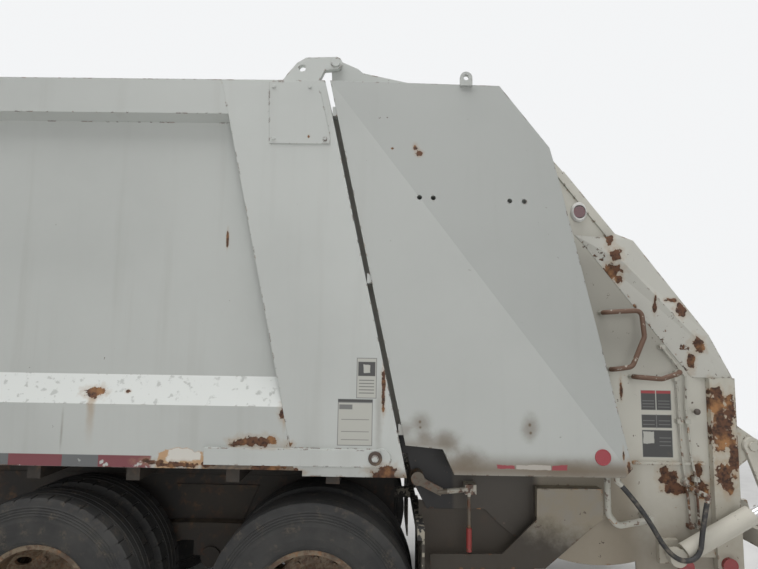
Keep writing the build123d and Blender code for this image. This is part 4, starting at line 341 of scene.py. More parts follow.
for lamp_name, lamp_place, lamp_aim, lamp_size, lamp_watts in LAMPS:
    lamp = bpy.data.objects.new(lamp_name, bpy.data.lights.new(lamp_name, "AREA"))
    lamp.data.shape = "DISK"
    lamp.data.size = lamp_size
    lamp.data.energy = lamp_watts
    lamp.location = lamp_place
    lamp.rotation_euler = (Vector(lamp_aim) - Vector(lamp_place)).to_track_quat("-Z", "Y").to_euler()
    scene.collection.objects.link(lamp)

# The chassis: rolled channel rails, forged axles, leaf springs and a driveline, all in
# black chassis paint that years of road mud and rust have dulled to brown. The pieces
# are welded or bolted under the cab and the load body.
CHASSIS_BLACK = (0.026, 0.024, 0.022, 1)
IRON_BROWN = (0.034, 0.029, 0.025, 1)
MUD = (0.048, 0.037, 0.026, 1)
DRY_MUD = (0.150, 0.122, 0.090, 1)
RUST_DARK = (0.040, 0.021, 0.014, 1)
RUST_BROWN = (0.115, 0.052, 0.028, 1)
RUST_ORANGE = (0.40, 0.20, 0.080, 1)
DUST_SHARE = 0.65


def wear(node, finish):
    """Give a carried-over piece its finish."""
    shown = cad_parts[node]
    for place in range(len(shown.data.materials)):
        shown.data.materials[place] = finish.material


def rust_tone(finish, shift=0.0, orange=0.55):
    """Rust from dark brown to orange, in grains of a few millimetres."""
    grain = finish.noise(55.0, detail=9.0, shift=shift)
    patch = finish.noise(11.0, detail=7.0, shift=shift + 4.0)
    tone = finish.mix(RUST_DARK, RUST_BROWN, finish.rise(grain, 0.35, 0.6))
    return finish.mix(tone, RUST_ORANGE, finish.times(finish.rise(patch, 0.50, 0.68), orange))


def muddy(name, base, mud=0.6, rust=0.4, roughness=0.7, metallic=0.0):
    """Dark painted or bare metal under mud and rust."""
    finish = Finish(name)
    cloud = finish.noise(2.2, detail=7.0)
    splash = finish.noise(14.0, detail=9.0, shift=3.0)
    tone = finish.mix(base, rust_tone(finish), finish.times(finish.rise(splash, 0.5, 0.66), rust))
    tone = finish.mix(tone, MUD, finish.times(finish.rise(cloud, 0.3, 0.65), mud))
    dust = finish.times(finish.rise(finish.parts(finish.normal)[2], 0.2, 0.9), DUST_SHARE)
    tone = finish.mix(tone, DRY_MUD, finish.times(dust, finish.rise(splash, 0.3, 0.6)))
    relief = finish.plus(finish.times(cloud, 2.0), splash)
    return finish.set(tone, roughness, metallic, relief, depth=0.004, strength=0.55)


chassis_black = muddy("chassis_black", CHASSIS_BLACK)
axle_iron = muddy("axle_iron", IRON_BROWN, mud=0.75, rust=0.6)
for node in ("frame_rails", "body_floor", "fuel_and_air_tanks"):
    wear(node, chassis_black)
for node in ("front_axle", "leaf_springs", "rear_axles", "engine_and_driveline", "tie_rod",
             "knuckle_left", "knuckle_right"):
    wear(node, axle_iron)

# Mudguards: rubber flaps and moulded guards bolted to the chassis, black where they are
# clean and caked with pale mud towards the foot.
FLAP_BLACK = (0.022, 0.021, 0.020, 1)
FLAP_SPRAY = (0.30, 0.275, 0.22, 1)
MUD_TOP = 1.1
MUD_FULL = 0.35
BEHIND_WHEELS = (0.42, 0.48)
rear_axle = (Vector(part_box("tyre_rear_left")[0]) + Vector(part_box("tyre_rear_left")[1])).x / 2

flap_rubber = Finish("flap_rubber")
flap_splash = flap_rubber.noise(6.0, detail=9.0)
flap_caked = flap_rubber.times(flap_rubber.rise(flap_rubber.z, MUD_TOP, MUD_FULL),
                               flap_rubber.rise(flap_splash, 0.40, 0.62))
flap_tone = flap_rubber.mix(FLAP_BLACK, DRY_MUD, flap_caked)
flap_drops = flap_rubber.rise(flap_rubber.noise(34.0, detail=8.0, shift=5.0), 0.50, 0.56)
behind_wheels = flap_rubber.rise(flap_rubber.x, *(rear_axle + far for far in BEHIND_WHEELS))
flap_tone = flap_rubber.mix(flap_tone, FLAP_SPRAY, flap_rubber.times(behind_wheels, flap_drops))
wear("mudguards", flap_rubber.set(flap_tone, 0.75, relief=flap_splash, depth=0.003))

# Wheels: ten radial tyres of the usual truck size on ten-stud disc wheels, in pairs on
# the two rear axles. Each tyre is moulded rubber with a belted crown. Those of the middle
# axle have worn slots across their shoulders, and those of the last one are worn smooth.
TYRE_PITCHES = 38
TYRE_STATIONS = (
    # shares of a pitch; the last two are in the slot
    0.0, 0.22, 0.43, 0.64, 0.86, 0.885, 0.975,
)
FIRST_SLOTTED = 5
TYRE_HALF_WIDTH = 0.140
BEAD_RADIUS = 0.2993
TYRE_BEAD = (
    # offset from the tyre's middle, height over the bead
    (0.101, 0.0), (0.111, 0.001), (0.119, 0.012), (0.126, 0.014), (0.130, 0.024), (0.136, 0.060),
)
RIM_EDGE = 0.286
BULGE_OVER_MIDDLE = 0.010
BULGE_INSET = 0.0015
SIDE_RIBS = 4
FIRST_RIB = 0.022
RIB_STEP = 0.013
RIB_INSET = 0.003
RIB_DRAW_IN = 0.0018
SIDE_RIB = (
    # offset from the side, height over the rib's foot
    (-0.0016, 0.0), (0.0008, 0.0035), (0.0008, 0.007), (-0.0022, 0.0105),
)
TYRE_SHOULDER = (
    # offset from the tyre's middle, depth under the crown, 1 where the slots cut
    (0.1275, 0.037, 0), (0.1235, 0.019, 1), (0.118, 0.007, 1), (0.060, 0.0035, 1), (0.058, 0.0033, 0),
)
GROOVES = (0.046, 0.0)
GROOVE_TOP = 0.006
GROOVE_FOOT = 0.004
INNER_ROUND = 0.0012
OUTER_ROUND = 0.001
TWIN_TURN = 0.37
AXLE_TYRES = (
    # axle, slot depth, groove depth
    ("front", 0.004, 0.011), ("middle", 0.006, 0.004), ("rear", 0.0006, 0.0018),
)
TYRE_BLACK = (0.018, 0.018, 0.018, 1)
TYRE_GREY = (0.038, 0.037, 0.035, 1)
TYRE_DUST = (0.072, 0.060, 0.047, 1)
RIM_TAN = (0.20, 0.155, 0.105, 1)
RIM_BROWN = (0.085, 0.062, 0.042, 1)


def tyre_outline(radius, groove):
    """Half of a tyre's section from bead to crown: (offset, radius, 1 where the slots cut)."""
    bulge = (radius + RIM_EDGE) / 2 + BULGE_OVER_MIDDLE
    line = [(offset, BEAD_RADIUS + height, 0) for offset, height in TYRE_BEAD]
    line.append((TYRE_HALF_WIDTH - BULGE_INSET, bulge, 0))
    for ring in range(SIDE_RIBS):
        foot = bulge + FIRST_RIB + ring * RIB_STEP
        side = TYRE_HALF_WIDTH - RIB_INSET - ring * RIB_DRAW_IN
        line += [(side + offset, foot + height, 0) for offset, height in SIDE_RIB]
    line += [(offset, radius - depth, slotted) for offset, depth, slotted in TYRE_SHOULDER]
    for middle in GROOVES:
        line.append((middle + GROOVE_TOP, radius - INNER_ROUND, 0))
        line.append((middle + GROOVE_FOOT, radius - groove, 0))
        if middle:
            line.append((middle - GROOVE_FOOT, radius - groove, 0))
            line.append((middle - GROOVE_TOP, radius - OUTER_ROUND, 0))
    return line


def tyre_shape(centre, radius, slot_depth, groove, turn):
    """Points and faces of one tyre, turned about the axle line through its centre."""
    half = tyre_outline(radius, groove)
    section = half + [(-offset, reach, slotted) for offset, reach, slotted in reversed(half)]
    points, faces = [], []
    count = len(section)
    for pitch in range(TYRE_PITCHES):
        for station, share in enumerate(TYRE_STATIONS):
            angle = 2 * pi * (pitch + share + turn) / TYRE_PITCHES
            for offset, reach, slotted in section:
                cut = slot_depth if slotted and station >= FIRST_SLOTTED else 0.0
                points.append((centre.x + (reach - cut) * cos(angle), centre.y + offset,
                               centre.z + (reach - cut) * sin(angle)))
    rows = TYRE_PITCHES * len(TYRE_STATIONS)
    for row in range(rows):
        following = (row + 1) % rows
        for step in range(count):
            beside = (step + 1) % count
            faces.append((row * count + step, row * count + beside, following * count + beside,
                          following * count + step))
    return points, faces


tyre_rubber = Finish("tyre_rubber")
rubber_cloud = tyre_rubber.noise(5.0, detail=8.0)
rubber_speck = tyre_rubber.noise(85.0, detail=6.0)
rubber_scuff = tyre_rubber.noise(16.0, detail=9.0, shift=8.0)
rubber_tone = tyre_rubber.mix(TYRE_BLACK, TYRE_GREY, tyre_rubber.rise(rubber_cloud, 0.35, 0.7))
rubber_dusty = tyre_rubber.times(tyre_rubber.rise(rubber_scuff, 0.50, 0.70),
                                 tyre_rubber.rise(rubber_speck, 0.38, 0.6))
rubber_tone = tyre_rubber.mix(rubber_tone, TYRE_DUST, rubber_dusty)
tyre_rubber.set(rubber_tone, 0.78, relief=rubber_speck, depth=0.0012, strength=0.5)

rim_steel = Finish("rim_steel")
rim_cloud = rim_steel.noise(7.0, detail=8.0)
rim_grain = rim_steel.noise(60.0, detail=8.0)
rim_tone = rim_steel.mix(RIM_TAN, RIM_BROWN, rim_steel.rise(rim_cloud, 0.4, 0.65))
rim_rusty = rim_steel.times(rim_steel.rise(rim_grain, 0.42, 0.62), 0.75)
rim_tone = rim_steel.mix(rim_tone, rust_tone(rim_steel, 2.0), rim_rusty)
rim_steel.set(rim_tone, 0.62, 0.15, rim_grain, depth=0.0015)

for axle, slot_depth, groove in AXLE_TYRES:
    for side_name, side in SIDES:
        node = f"tyre_{axle}_{side_name}"
        low, high = (Vector(corner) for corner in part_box(node))
        radius = (high.z - low.z) / 2
        outer, inner = (high.y, low.y) if side > 0 else (low.y, high.y)
        centres = [outer - side * TYRE_HALF_WIDTH]
        if axle != "front":
            centres.append(inner + side * TYRE_HALF_WIDTH)
        points, faces = [], []
        for index, centre_y in enumerate(centres):
            middle = Vector(((low.x + high.x) / 2, centre_y, (low.z + high.z) / 2))
            more, joined = tyre_shape(middle, radius, slot_depth, groove, index * TWIN_TURN)
            start = len(points)
            points += more
            faces += [tuple(start + number for number in face) for face in joined]
        tyre_mesh = bpy.data.meshes.new(f"cover_{axle}_{side_name}")
        tyre_mesh.from_pydata(points, [], faces)
        tyre_piece = add_piece(f"moulded_tyres_{axle}_{side_name}", tyre_mesh, tyre_rubber,
                               f"wheel_{axle}_{side_name}")
        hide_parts(node)
        wear(f"rim_{axle}_{side_name}", rim_steel)

# The cab: a pressed and welded steel shell in off-white, tilted forward over its engine
# for service, with two doors, deep windows in black rubber and a black bar grille. Its
# paint is glossier than the body's, and less worn.
CAB_WHITE = (0.56, 0.57, 0.55, 1)
RUBBER_BLACK = (0.018, 0.018, 0.019, 1)
PLASTIC_BLACK = (0.020, 0.020, 0.021, 1)
PLASTIC_DUST = (0.085, 0.078, 0.066, 1)
GASKET = 0.024
WINDOW_LEAN = 0.035
CLOUD_SHADE = 0.84
RUN_DOWN_STRETCH = (8.0, 8.0, 0.45)
DUST_DEPTH = 0.55
SPECK_LEVEL = 0.76
SPECK_STEP = 0.07
SPECK_FADE = 0.025
SHADE_RAGGED = 0.35
GRIME_LOBES = 0.9
GRIME_FADE = (1.0, 0.05)
SPOT_LOBES = 2.4
SPOT_FLECKS = 2.6
SPOT_EDGE = (0.98, 0.84)
HALO_FADE = (1.9, 0.9)
HALO_SHARE = 0.35
RUN_EDGE = (0.6, 0.1)
RUN_SHARE = 0.65
STREAK = (0.235, 0.215, 0.18, 1)
DUST = (0.30, 0.26, 0.20, 1)
GRIME = (0.120, 0.086, 0.050, 1)
STAIN = (0.34, 0.23, 0.13, 1)
SPECK = (0.085, 0.060, 0.045, 1)


def shaded(colour, share):
    """The same paint, darker or lighter by a share."""
    return tuple(part * share for part in colour[:3]) + (1,)


def side_dirt_and_shade(finish, tone, lobes, shade, grime, marks):
    """Soft patches of grime or of painted shade, oily grime and sharp marks, each in its place on the side of
    the truck.
    """
    for x0, x1, z0, z1, dark, amount, fade in shade:
        inside = finish.patch(rear_axle + x0, rear_axle + x1, z0, z1, lobes, SHADE_RAGGED * fade, fade)
        tone = finish.mix(tone, dark, finish.times(inside, amount))
    for x, z, wide, high, amount in grime:
        far = finish.shaken(finish.oval(rear_axle + x, z, wide, high), lobes, GRIME_LOBES)
        tone = finish.mix(tone, GRIME, finish.times(finish.rise(far, *GRIME_FADE), amount))
    for x0, x1, z0, z1, dye, ragged in marks:
        printed = finish.patch(rear_axle + x0, rear_axle + x1, z0, z1, lobes if ragged else None, ragged)
        tone = finish.mix(tone, dye, printed)
    return tone


def rust_spots(finish, tone, rust, lobes, fleck, spots):
    """Rusting chips, each with a brown halo and some with a stain that runs down from it."""
    near_side = finish.rise(finish.y, 0.1, -0.1)
    for x, z, wide, high, run in spots:
        far = finish.shaken(finish.oval(rear_axle + x, z, wide, high), lobes, SPOT_LOBES)
        far = finish.shaken(far, fleck, SPOT_FLECKS)
        rust = finish.calc("MAXIMUM", rust, finish.times(finish.rise(far, *SPOT_EDGE), near_side))
        halo = finish.times(finish.rise(far, *HALO_FADE), near_side)
        tone = finish.mix(tone, STAIN, finish.times(halo, HALO_SHARE))
        if run:
            across = finish.over(finish.less(finish.x, rear_axle + x), wide)
            thread = finish.calc("ABSOLUTE", finish.shaken(across, fleck, 0.4))
            fall = finish.times(finish.rise(finish.z, z - run, z), finish.rise(finish.z, z + high, z))
            stain = finish.times(finish.rise(thread, *RUN_EDGE), finish.times(fall, near_side))
            tone = finish.mix(tone, STAIN, finish.times(stain, RUN_SHARE))
    return tone, rust


def weathered_paint(name, colour, streaks=0.3, dust_top=None, chips=0.0, flakes=None, specks=0.8, gloss=0.42,
                    shade=(), grime=(), marks=(), spots=(), add=None, orange=0.55):
    """Old off-white enamel: clouded, streaked, dusty low down and rusting where it is chipped.

    shade is a soft rectangle (x0, x1, z0, z1, colour, amount, fade) of grime or of painted
    shade, marks are sharp ones (x0, x1, z0, z1, colour, ragged), grime is oily dirt (x, z,
    half width, half height, amount) and spots are rust (x, z, half width, half height, run
    down), in metres on the side of the truck, with x from the rear axle. add is a function
    that paints over all of it but the rust; some of these paint a highlight or shade.
    """
    finish = Finish(name)
    cloud = finish.noise(0.9, detail=6.0)
    fleck = finish.noise(26.0, detail=9.0, shift=2.0)
    lobes = finish.noise(10.0, detail=8.0, shift=7.0, roughness=0.65)
    run_down = finish.noise(1.0, detail=6.0, stretch=RUN_DOWN_STRETCH, shift=6.0)
    clouded = finish.times(finish.rise(cloud, 0.35, 0.7), 0.55)
    tone = finish.mix(colour, shaded(colour, CLOUD_SHADE), clouded)
    tone = finish.mix(tone, STREAK, finish.times(finish.rise(run_down, 0.52, 0.84), streaks))
    rough = finish.times_plus(cloud, 0.18, gloss)
    if dust_top is not None:
        height = finish.shaken(finish.z, cloud, 0.8)
        dust = finish.times(finish.rise(height, dust_top, dust_top - DUST_DEPTH),
                            finish.times_plus(fleck, 0.6, 0.35))
        tone = finish.mix(tone, DUST, finish.times(dust, 0.75))
        rough = finish.times_plus(dust, 0.25, rough)
    tone = side_dirt_and_shade(finish, tone, lobes, shade, grime, marks)
    if add is not None:
        tone = add(finish, tone, fleck, lobes)
    dots = finish.noise(19.0, detail=4.0, shift=11.0, roughness=0.78)
    level = SPECK_LEVEL - SPECK_STEP * specks
    tone = finish.mix(tone, SPECK, finish.rise(dots, level, level + SPECK_FADE))
    rust = finish.times(finish.edges(0.006 + 0.012 * chips), finish.rise(fleck, 0.55, 0.60))
    tone, rust = rust_spots(finish, tone, rust, lobes, fleck, spots)
    if flakes is not None:
        flaking = finish.noise(5.5, detail=11.0, shift=13.0, roughness=0.72)
        rust = finish.calc("MAXIMUM", rust, finish.rise(flaking, flakes, flakes + 0.012))
    tone = finish.mix(tone, rust_tone(finish, 1.0, orange), rust)
    rough = finish.times_plus(rust, 0.35, rough)
    relief = finish.times_plus(fleck, 0.25, finish.times(rust, 1.2))
    return finish.set(tone, rough, 0.0, relief, depth=0.0012, strength=0.35, round_edges=0.004)


def screen_gasket(finish, tone, fleck, lobes):
    """Black rubber round the windscreen and the rear window of the cab."""
    low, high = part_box("cab_glass")
    across = finish.between(finish.y, low.y - GASKET, high.y + GASKET)
    upright = finish.between(finish.z, low.z - GASKET, high.z + GASKET)
    front = finish.rise(finish.x, low.x + 0.2, low.x + 0.1)
    ring = finish.times(finish.times(across, upright), front)
    return finish.mix(tone, RUBBER_BLACK, ring)


def door_gasket(finish, tone, fleck, lobes):
    """Black rubber round the side windows, whose front edge leans."""
    low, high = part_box("door_glass_left")
    lean = WINDOW_LEAN / (high.z - low.z)
    leaning_x = finish.less(finish.x, finish.times(finish.less(finish.z, low.z), lean))
    ahead_of_it = finish.rise(leaning_x, low.x - GASKET - 0.002, low.x - GASKET)
    behind_it = finish.rise(finish.x, high.x + GASKET + 0.002, high.x + GASKET)
    upright = finish.between(finish.z, low.z - GASKET, high.z + GASKET)
    ring = finish.times(finish.times(ahead_of_it, behind_it), upright)
    return finish.mix(tone, RUBBER_BLACK, ring)


cab_paint = weathered_paint("cab_paint", CAB_WHITE, streaks=0.15, dust_top=1.1, chips=0.6, gloss=0.28,
                            add=screen_gasket)
door_paint = weathered_paint("door_paint", CAB_WHITE, streaks=0.15, dust_top=1.1, chips=0.6, gloss=0.28,
                             add=door_gasket)
bumper_paint = weathered_paint("bumper_paint", CAB_WHITE, streaks=0.25, dust_top=1.3, chips=1.0, gloss=0.35)
wear("cab_shell", cab_paint)
wear("front_bumper", bumper_paint)
for node in ("door_left", "door_right"):
    wear(node, door_paint)

black_plastic = Finish("black_plastic")
plastic_grain = black_plastic.noise(220.0, detail=3.0)
plastic_dust = black_plastic.noise(4.0, detail=7.0)
black_dusty = black_plastic.times(black_plastic.rise(plastic_dust, 0.45, 0.75), 0.7)
black_tone = black_plastic.mix(PLASTIC_BLACK, PLASTIC_DUST, black_dusty)
black_plastic.set(black_tone, 0.55, relief=plastic_grain, depth=0.0006, round_edges=0.003)
for node in ("grille", "cab_steps", "steering_wheel"):
    wear(node, black_plastic)

# Mirrors and wipers: black moulded heads on steel arms, with silvered glass on the faces
# that look back along the truck, and two wiper arms at the foot of the windscreen.
MIRROR_OUT = 1.22
SILVER = (0.72, 0.74, 0.75, 1)

mirror_finish = Finish("mirror_heads")
mirror_grain = mirror_finish.noise(200.0, detail=3.0)
looks_back = mirror_finish.rise(mirror_finish.parts(mirror_finish.normal)[0], 0.93, 0.97)
mirror_stand = mirror_finish.calc("ABSOLUTE", mirror_finish.y)
on_head = mirror_finish.rise(mirror_stand, MIRROR_OUT, MIRROR_OUT + 0.01)
silvered = mirror_finish.times(looks_back, on_head)
mirror_tone = mirror_finish.mix(PLASTIC_BLACK, SILVER, silvered)
mirror_rough = mirror_finish.times_plus(silvered, -0.47, 0.52)
wear("mirrors", mirror_finish.set(mirror_tone, mirror_rough, silvered, mirror_grain, depth=0.0003))

# Inside the cab: a moulded floor covering and dashboard in dull grey plastic, and the
# windows of clear laminated glass, bonded or held by their rubbers.
DASH_GREY = (0.070, 0.072, 0.075, 1)
DASH_DUST = (0.12, 0.115, 0.105, 1)
GLASS_TINT = (0.70, 0.80, 0.78, 1)
GLASS_CLEARNESS = 0.92
GLASS_IOR = 1.45

dash_plastic = Finish("dash_plastic")
dash_grain = dash_plastic.noise(160.0, detail=2.0)
dash_tone = dash_plastic.mix(DASH_GREY, DASH_DUST, dash_plastic.rise(dash_plastic.noise(3.0), 0.4, 0.75))
dash_plastic.set(dash_tone, 0.6, relief=dash_grain, depth=0.0008, round_edges=0.006)
for node in ("cab_floor", "dashboard"):
    wear(node, dash_plastic)

window_glass = Finish("window_glass")
window_glass.shader.inputs["Transmission Weight"].default_value = GLASS_CLEARNESS
window_glass.shader.inputs["IOR"].default_value = GLASS_IOR
glass_haze = window_glass.noise(3.0, detail=8.0)
window_glass.set(GLASS_TINT, window_glass.times(glass_haze, 0.10))
for node in ("cab_glass", "door_glass_left", "door_glass_right"):
    wear(node, window_glass)

# Seats: foam cushions and backs under dark woven cloth, on steel bases. Each is a crowned
# closed form with its sides drawn in and two sewn channels, made a little inside the
# solid that it stands for.
CUSHION_CUTS = 15
CUSHION_POWER = 5
CROWN = 0.10
CHANNELS = (-0.45, 0.45)
CHANNEL_DEPTH = 0.10
CHANNEL_HALF_WIDTH = 0.07
SEAT_WIDTH = 0.5
SEAT_GAP = 0.004
PAD_X = (0.004, 0.496)
PAD_Z = (0.002, 0.128)
BACK_X = (0.478, 0.588)
BACK_FOOT = 0.131
BACK_GAP = 0.005
BACK_TOP_GAP = 0.006
BACK_LEAN = 0.105
CLOTH_DARK = (0.045, 0.048, 0.056, 1)
CLOTH_LIGHT = (0.085, 0.088, 0.096, 1)
CLOTH_SHEEN = 0.3
WEAVE_RATE = 2600.0


def shape_mesh(name, shape):
    """The mesh of a shape that was worked out point by point."""
    mesh = bpy.data.meshes.new(name)
    shape.to_mesh(mesh)
    shape.free()
    return mesh


def padded_block(name, low, high, crown_axis, tilt=0.0, foot=0.0):
    """A crowned cushion that fills a box, with sewn channels across its face."""
    shape = bmesh.new()
    bmesh.ops.create_cube(shape, size=2.0)
    bmesh.ops.subdivide_edges(shape, edges=shape.edges[:], cuts=CUSHION_CUTS, use_grid_fill=True)
    middle = (Vector(low) + Vector(high)) / 2
    half = (Vector(high) - Vector(low)) / 2
    for point in shape.verts:
        p = point.co.copy()
        p = p / sum(abs(part) ** CUSHION_POWER for part in p) ** (1 / CUSHION_POWER)
        other = p.x if crown_axis == 2 else p.z
        near = min(abs(p.y - channel) for channel in CHANNELS)
        dip = CHANNEL_DEPTH * max(0.0, 1.0 - near / CHANNEL_HALF_WIDTH)
        p[crown_axis] *= 1.0 - dip - CROWN * (p.y ** 2 + other ** 2) / 2
        point.co = Vector((middle.x + p.x * half.x, middle.y + p.y * half.y, middle.z + p.z * half.z))
        point.co.x += tilt * (point.co.z - foot)
    mesh = shape_mesh(name, shape)
    mesh.shade_smooth()
    return mesh


seat_cloth = Finish("seat_cloth")
weave_across = seat_cloth.ripple(seat_cloth.y, WEAVE_RATE)
weave_along = seat_cloth.ripple(seat_cloth.plus(seat_cloth.x, seat_cloth.z), WEAVE_RATE)
weave = seat_cloth.times(weave_across, weave_along)
cloth_tone = seat_cloth.mix(CLOTH_DARK, CLOTH_LIGHT, seat_cloth.rise(weave, -0.6, 0.8))
seat_cloth.shader.inputs["Sheen Weight"].default_value = CLOTH_SHEEN
seat_cloth.set(cloth_tone, 0.9, relief=weave, depth=0.0007)

seat_low, seat_high = (Vector(corner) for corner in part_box("seat_cushions"))
back_foot = seat_low.z + BACK_FOOT
seat_pieces = []
for side_name, side in SIDES:
    y0 = (seat_high.y - SEAT_WIDTH if side > 0 else seat_low.y) + SEAT_GAP
    y1 = y0 + SEAT_WIDTH - 2 * SEAT_GAP
    pad_name = f"seat_pad_{side_name}"
    pad = padded_block(pad_name, (seat_low.x + PAD_X[0], y0, seat_low.z + PAD_Z[0]),
                       (seat_low.x + PAD_X[1], y1, seat_low.z + PAD_Z[1]), 2)
    back_name = f"seat_back_{side_name}"
    back = padded_block(back_name, (seat_low.x + BACK_X[0], y0, back_foot + BACK_GAP),
                        (seat_low.x + BACK_X[1], y1, seat_high.z - BACK_TOP_GAP), 0, BACK_LEAN, back_foot)
    for name, mesh in ((pad_name, pad), (back_name, back)):
        piece = add_piece(name, mesh, seat_cloth, "cab")
        seat_pieces.append(piece)
for piece in seat_pieces:
    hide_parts("seat_cushions")

# The load body: a welded steel box with pressed side walls between a proud top rail and
# a proud lower rail. The old enamel has faded to a pale grey-white, with rust at the
# bevel, and red and grey tape peels off along the lower edge, where the seam traps dirt.
BODY_WHITE = (0.475, 0.492, 0.472, 1)
# A painted highlight: the up-facing bevels are painted lighter than the walls.
WASHED_AND_LIT_WHITE = (0.64, 0.66, 0.64, 1)
TAPE_LOW = 1.226
TAPE_HIGH = 1.285
TAPE_RED_LENGTH = 0.273
TAPE_PERIOD = 0.457
TAPE_END = -0.811
TAPE_PERIODS_AHEAD = 20
TAPE_RED = (0.175, 0.050, 0.058, 1)
TAPE_GREY = (0.125, 0.130, 0.132, 1)
BARE_WHITE = (0.60, 0.58, 0.53, 1)
BARE_ORANGE = (0.46, 0.26, 0.11, 1)
SEAM_GRIME = (0.060, 0.040, 0.027, 1)
WORN_PLACES = (
    # x0, x1, z0, z1, colour, share, ragged, fade
    (-0.80, -0.541, 1.236, 1.322, BARE_ORANGE, 0.85, 0.14, 0.006),
    (-0.73, -0.56, 1.262, 1.318, BARE_WHITE, 1.0, 0.12, 0.004),
)


def tape_and_bevel_highlight(finish, tone, fleck, lobes):
    """A painted highlight on the up-facing bevels, as clean washed paint, and two-colour tape along the lower
    rail, worn through and partly peeled off.
    """
    # Painted highlight: up-facing bevels get a lighter paint, as if clean and washed.
    washed_and_lit = finish.between(finish.parts(finish.normal)[2], 0.30, 0.90, 0.05)
    tone = finish.mix(tone, WASHED_AND_LIT_WHITE, finish.times(washed_and_lit, finish.rise(fleck, 0.66, 0.56)))
    tape_end = rear_axle + TAPE_END
    across = finish.between(finish.z, TAPE_LOW, TAPE_HIGH)
    ahead_of_end = finish.less(tape_end + TAPE_PERIODS_AHEAD * TAPE_PERIOD, finish.x)
    share = finish.calc("FRACT", finish.over(ahead_of_end, TAPE_PERIOD))
    red_share = TAPE_RED_LENGTH / TAPE_PERIOD
    dye = finish.mix(TAPE_GREY, TAPE_RED, finish.rise(share, red_share + 0.004, red_share - 0.004))
    ends = finish.rise(finish.shaken(finish.x, lobes, 0.05), tape_end + 0.01, tape_end - 0.01)
    kept = finish.times(finish.times(across, ends), finish.rise(lobes, 0.66, 0.62))
    tone = finish.mix(tone, dye, kept)
    for x0, x1, z0, z1, bared, share, ragged, fade in WORN_PLACES:
        worn = finish.patch(rear_axle + x0, rear_axle + x1, z0, z1, lobes, ragged, fade)
        tone = finish.mix(tone, bared, finish.times(worn, share))
    return tone


body_spots = (
    # x, z, half width, half height, run down
    (-1.140, 1.595, 0.050, 0.026, 0.30),
    (-0.970, 1.600, 0.012, 0.009, 0.0),
    (-0.150, 1.520, 0.022, 0.042, 0.14),
    (-0.500, 2.420, 0.006, 0.050, 0.10),
    (-0.820, 1.254, 0.060, 0.018, 0.0),
    (-0.669, 1.243, 0.080, 0.016, 0.0),
    (-0.542, 1.250, 0.045, 0.018, 0.0),
    (-0.256, 1.362, 0.120, 0.028, 0.02),
    (-0.360, 1.358, 0.040, 0.016, 0.0),
    (-0.230, 1.238, 0.130, 0.020, 0.0),
    (-2.900, 1.250, 0.090, 0.018, 0.0),
)
body_grime = (
    # x, z, half width, half height, amount
    (-1.62, 1.40, 0.016, 0.16, 0.5),
    (-1.28, 1.40, 0.010, 0.16, 0.4),
)
body_shade = (
    # x0, x1, z0, z1, colour, amount, fade
    (-0.56, -0.02, 1.190, 1.250, SEAM_GRIME, 0.92, 0.008),
)
body_paint = weathered_paint("body_paint", BODY_WHITE, streaks=0.22, dust_top=1.30, chips=0.5, specks=0.6,
                             spots=body_spots, grime=body_grime, shade=body_shade, add=tape_and_bevel_highlight)
for node in ("body_sides", "body_front_wall", "body_roof"):
    wear(node, body_paint)

# Rear frame of the body: a raked band of folded plate on each side that carries the
# tailgate's hinge ears on top and a bumper bar below. It is in the same enamel, with two
# blank plates, and the bar's end pin sits in a dark worn ring.
PLATE_BLACK = (0.050, 0.050, 0.049, 1)
PLATE_PALE = (0.44, 0.44, 0.40, 1)
PLATE_LINE = (0.16, 0.16, 0.155, 1)
EDGE_LINE = 0.0035
PIN_RING = (0.315, 1.296)
PIN_RING_R = 0.034
RING_INSIDE = 0.5
RING_DARK = (0.055, 0.036, 0.026, 1)
FRAME_LIFT = 1.04


def framed(x0, x1, z0, z1):
    """A blank plate with a thin printed edge."""
    return [(x0, x1, z0, z1, PLATE_LINE, 0.0),
            (x0 + EDGE_LINE, x1 - EDGE_LINE, z0 + EDGE_LINE, z1 - EDGE_LINE, PLATE_PALE, 0.0)]


def ruled(x0, x1, heights, thick):
    """Plain lines across a plate, in the place of its print."""
    return [(x0, x1, z, z + thick, PLATE_LINE, 0.0) for z in heights]


frame_marks = framed(0.213, 0.316, 1.588, 1.792) + framed(0.121, 0.298, 1.352, 1.568)
frame_marks += [
    # x0, x1, z0, z1, colour, ragged
    (0.221, 0.308, 1.700, 1.772, PLATE_BLACK, 0.0),
    (0.250, 0.282, 1.716, 1.756, PLATE_PALE, 0.02),
    (0.121, 0.298, 1.568, 1.583, PLATE_BLACK, 0.0),
    (0.128, 0.195, 1.532, 1.556, PLATE_LINE, 0.0),
]
frame_marks += ruled(0.226, 0.303, (1.612, 1.628, 1.644, 1.660, 1.676), 0.005)
frame_marks += ruled(0.140, 0.280, (1.380, 1.42, 1.48), 0.003)
frame_spots = (
    # x, z, half width, half height, run down
    (-0.256, 1.358, 0.115, 0.020, 0.03),
    (-0.370, 1.360, 0.030, 0.012, 0.0),
    (-0.116, 1.355, 0.028, 0.014, 0.02),
    (-0.235, 1.216, 0.125, 0.018, 0.0),
    (-0.112, 1.228, 0.040, 0.014, 0.0),
    (0.360, 1.195, 0.070, 0.050, 0.0),
    (0.352, 1.640, 0.010, 0.120, 0.20),
    (-0.070, 2.960, 0.006, 0.008, 0.0),
)
frame_grime = (
    # x, z, half width, half height, amount
    (0.330, 1.500, 0.030, 0.260, 0.35),
)
frame_shade = (
    # x0, x1, z0, z1, colour, amount, fade
    (0.30, 0.60, 0.95, 1.225, MUD, 0.85, 0.03),
)


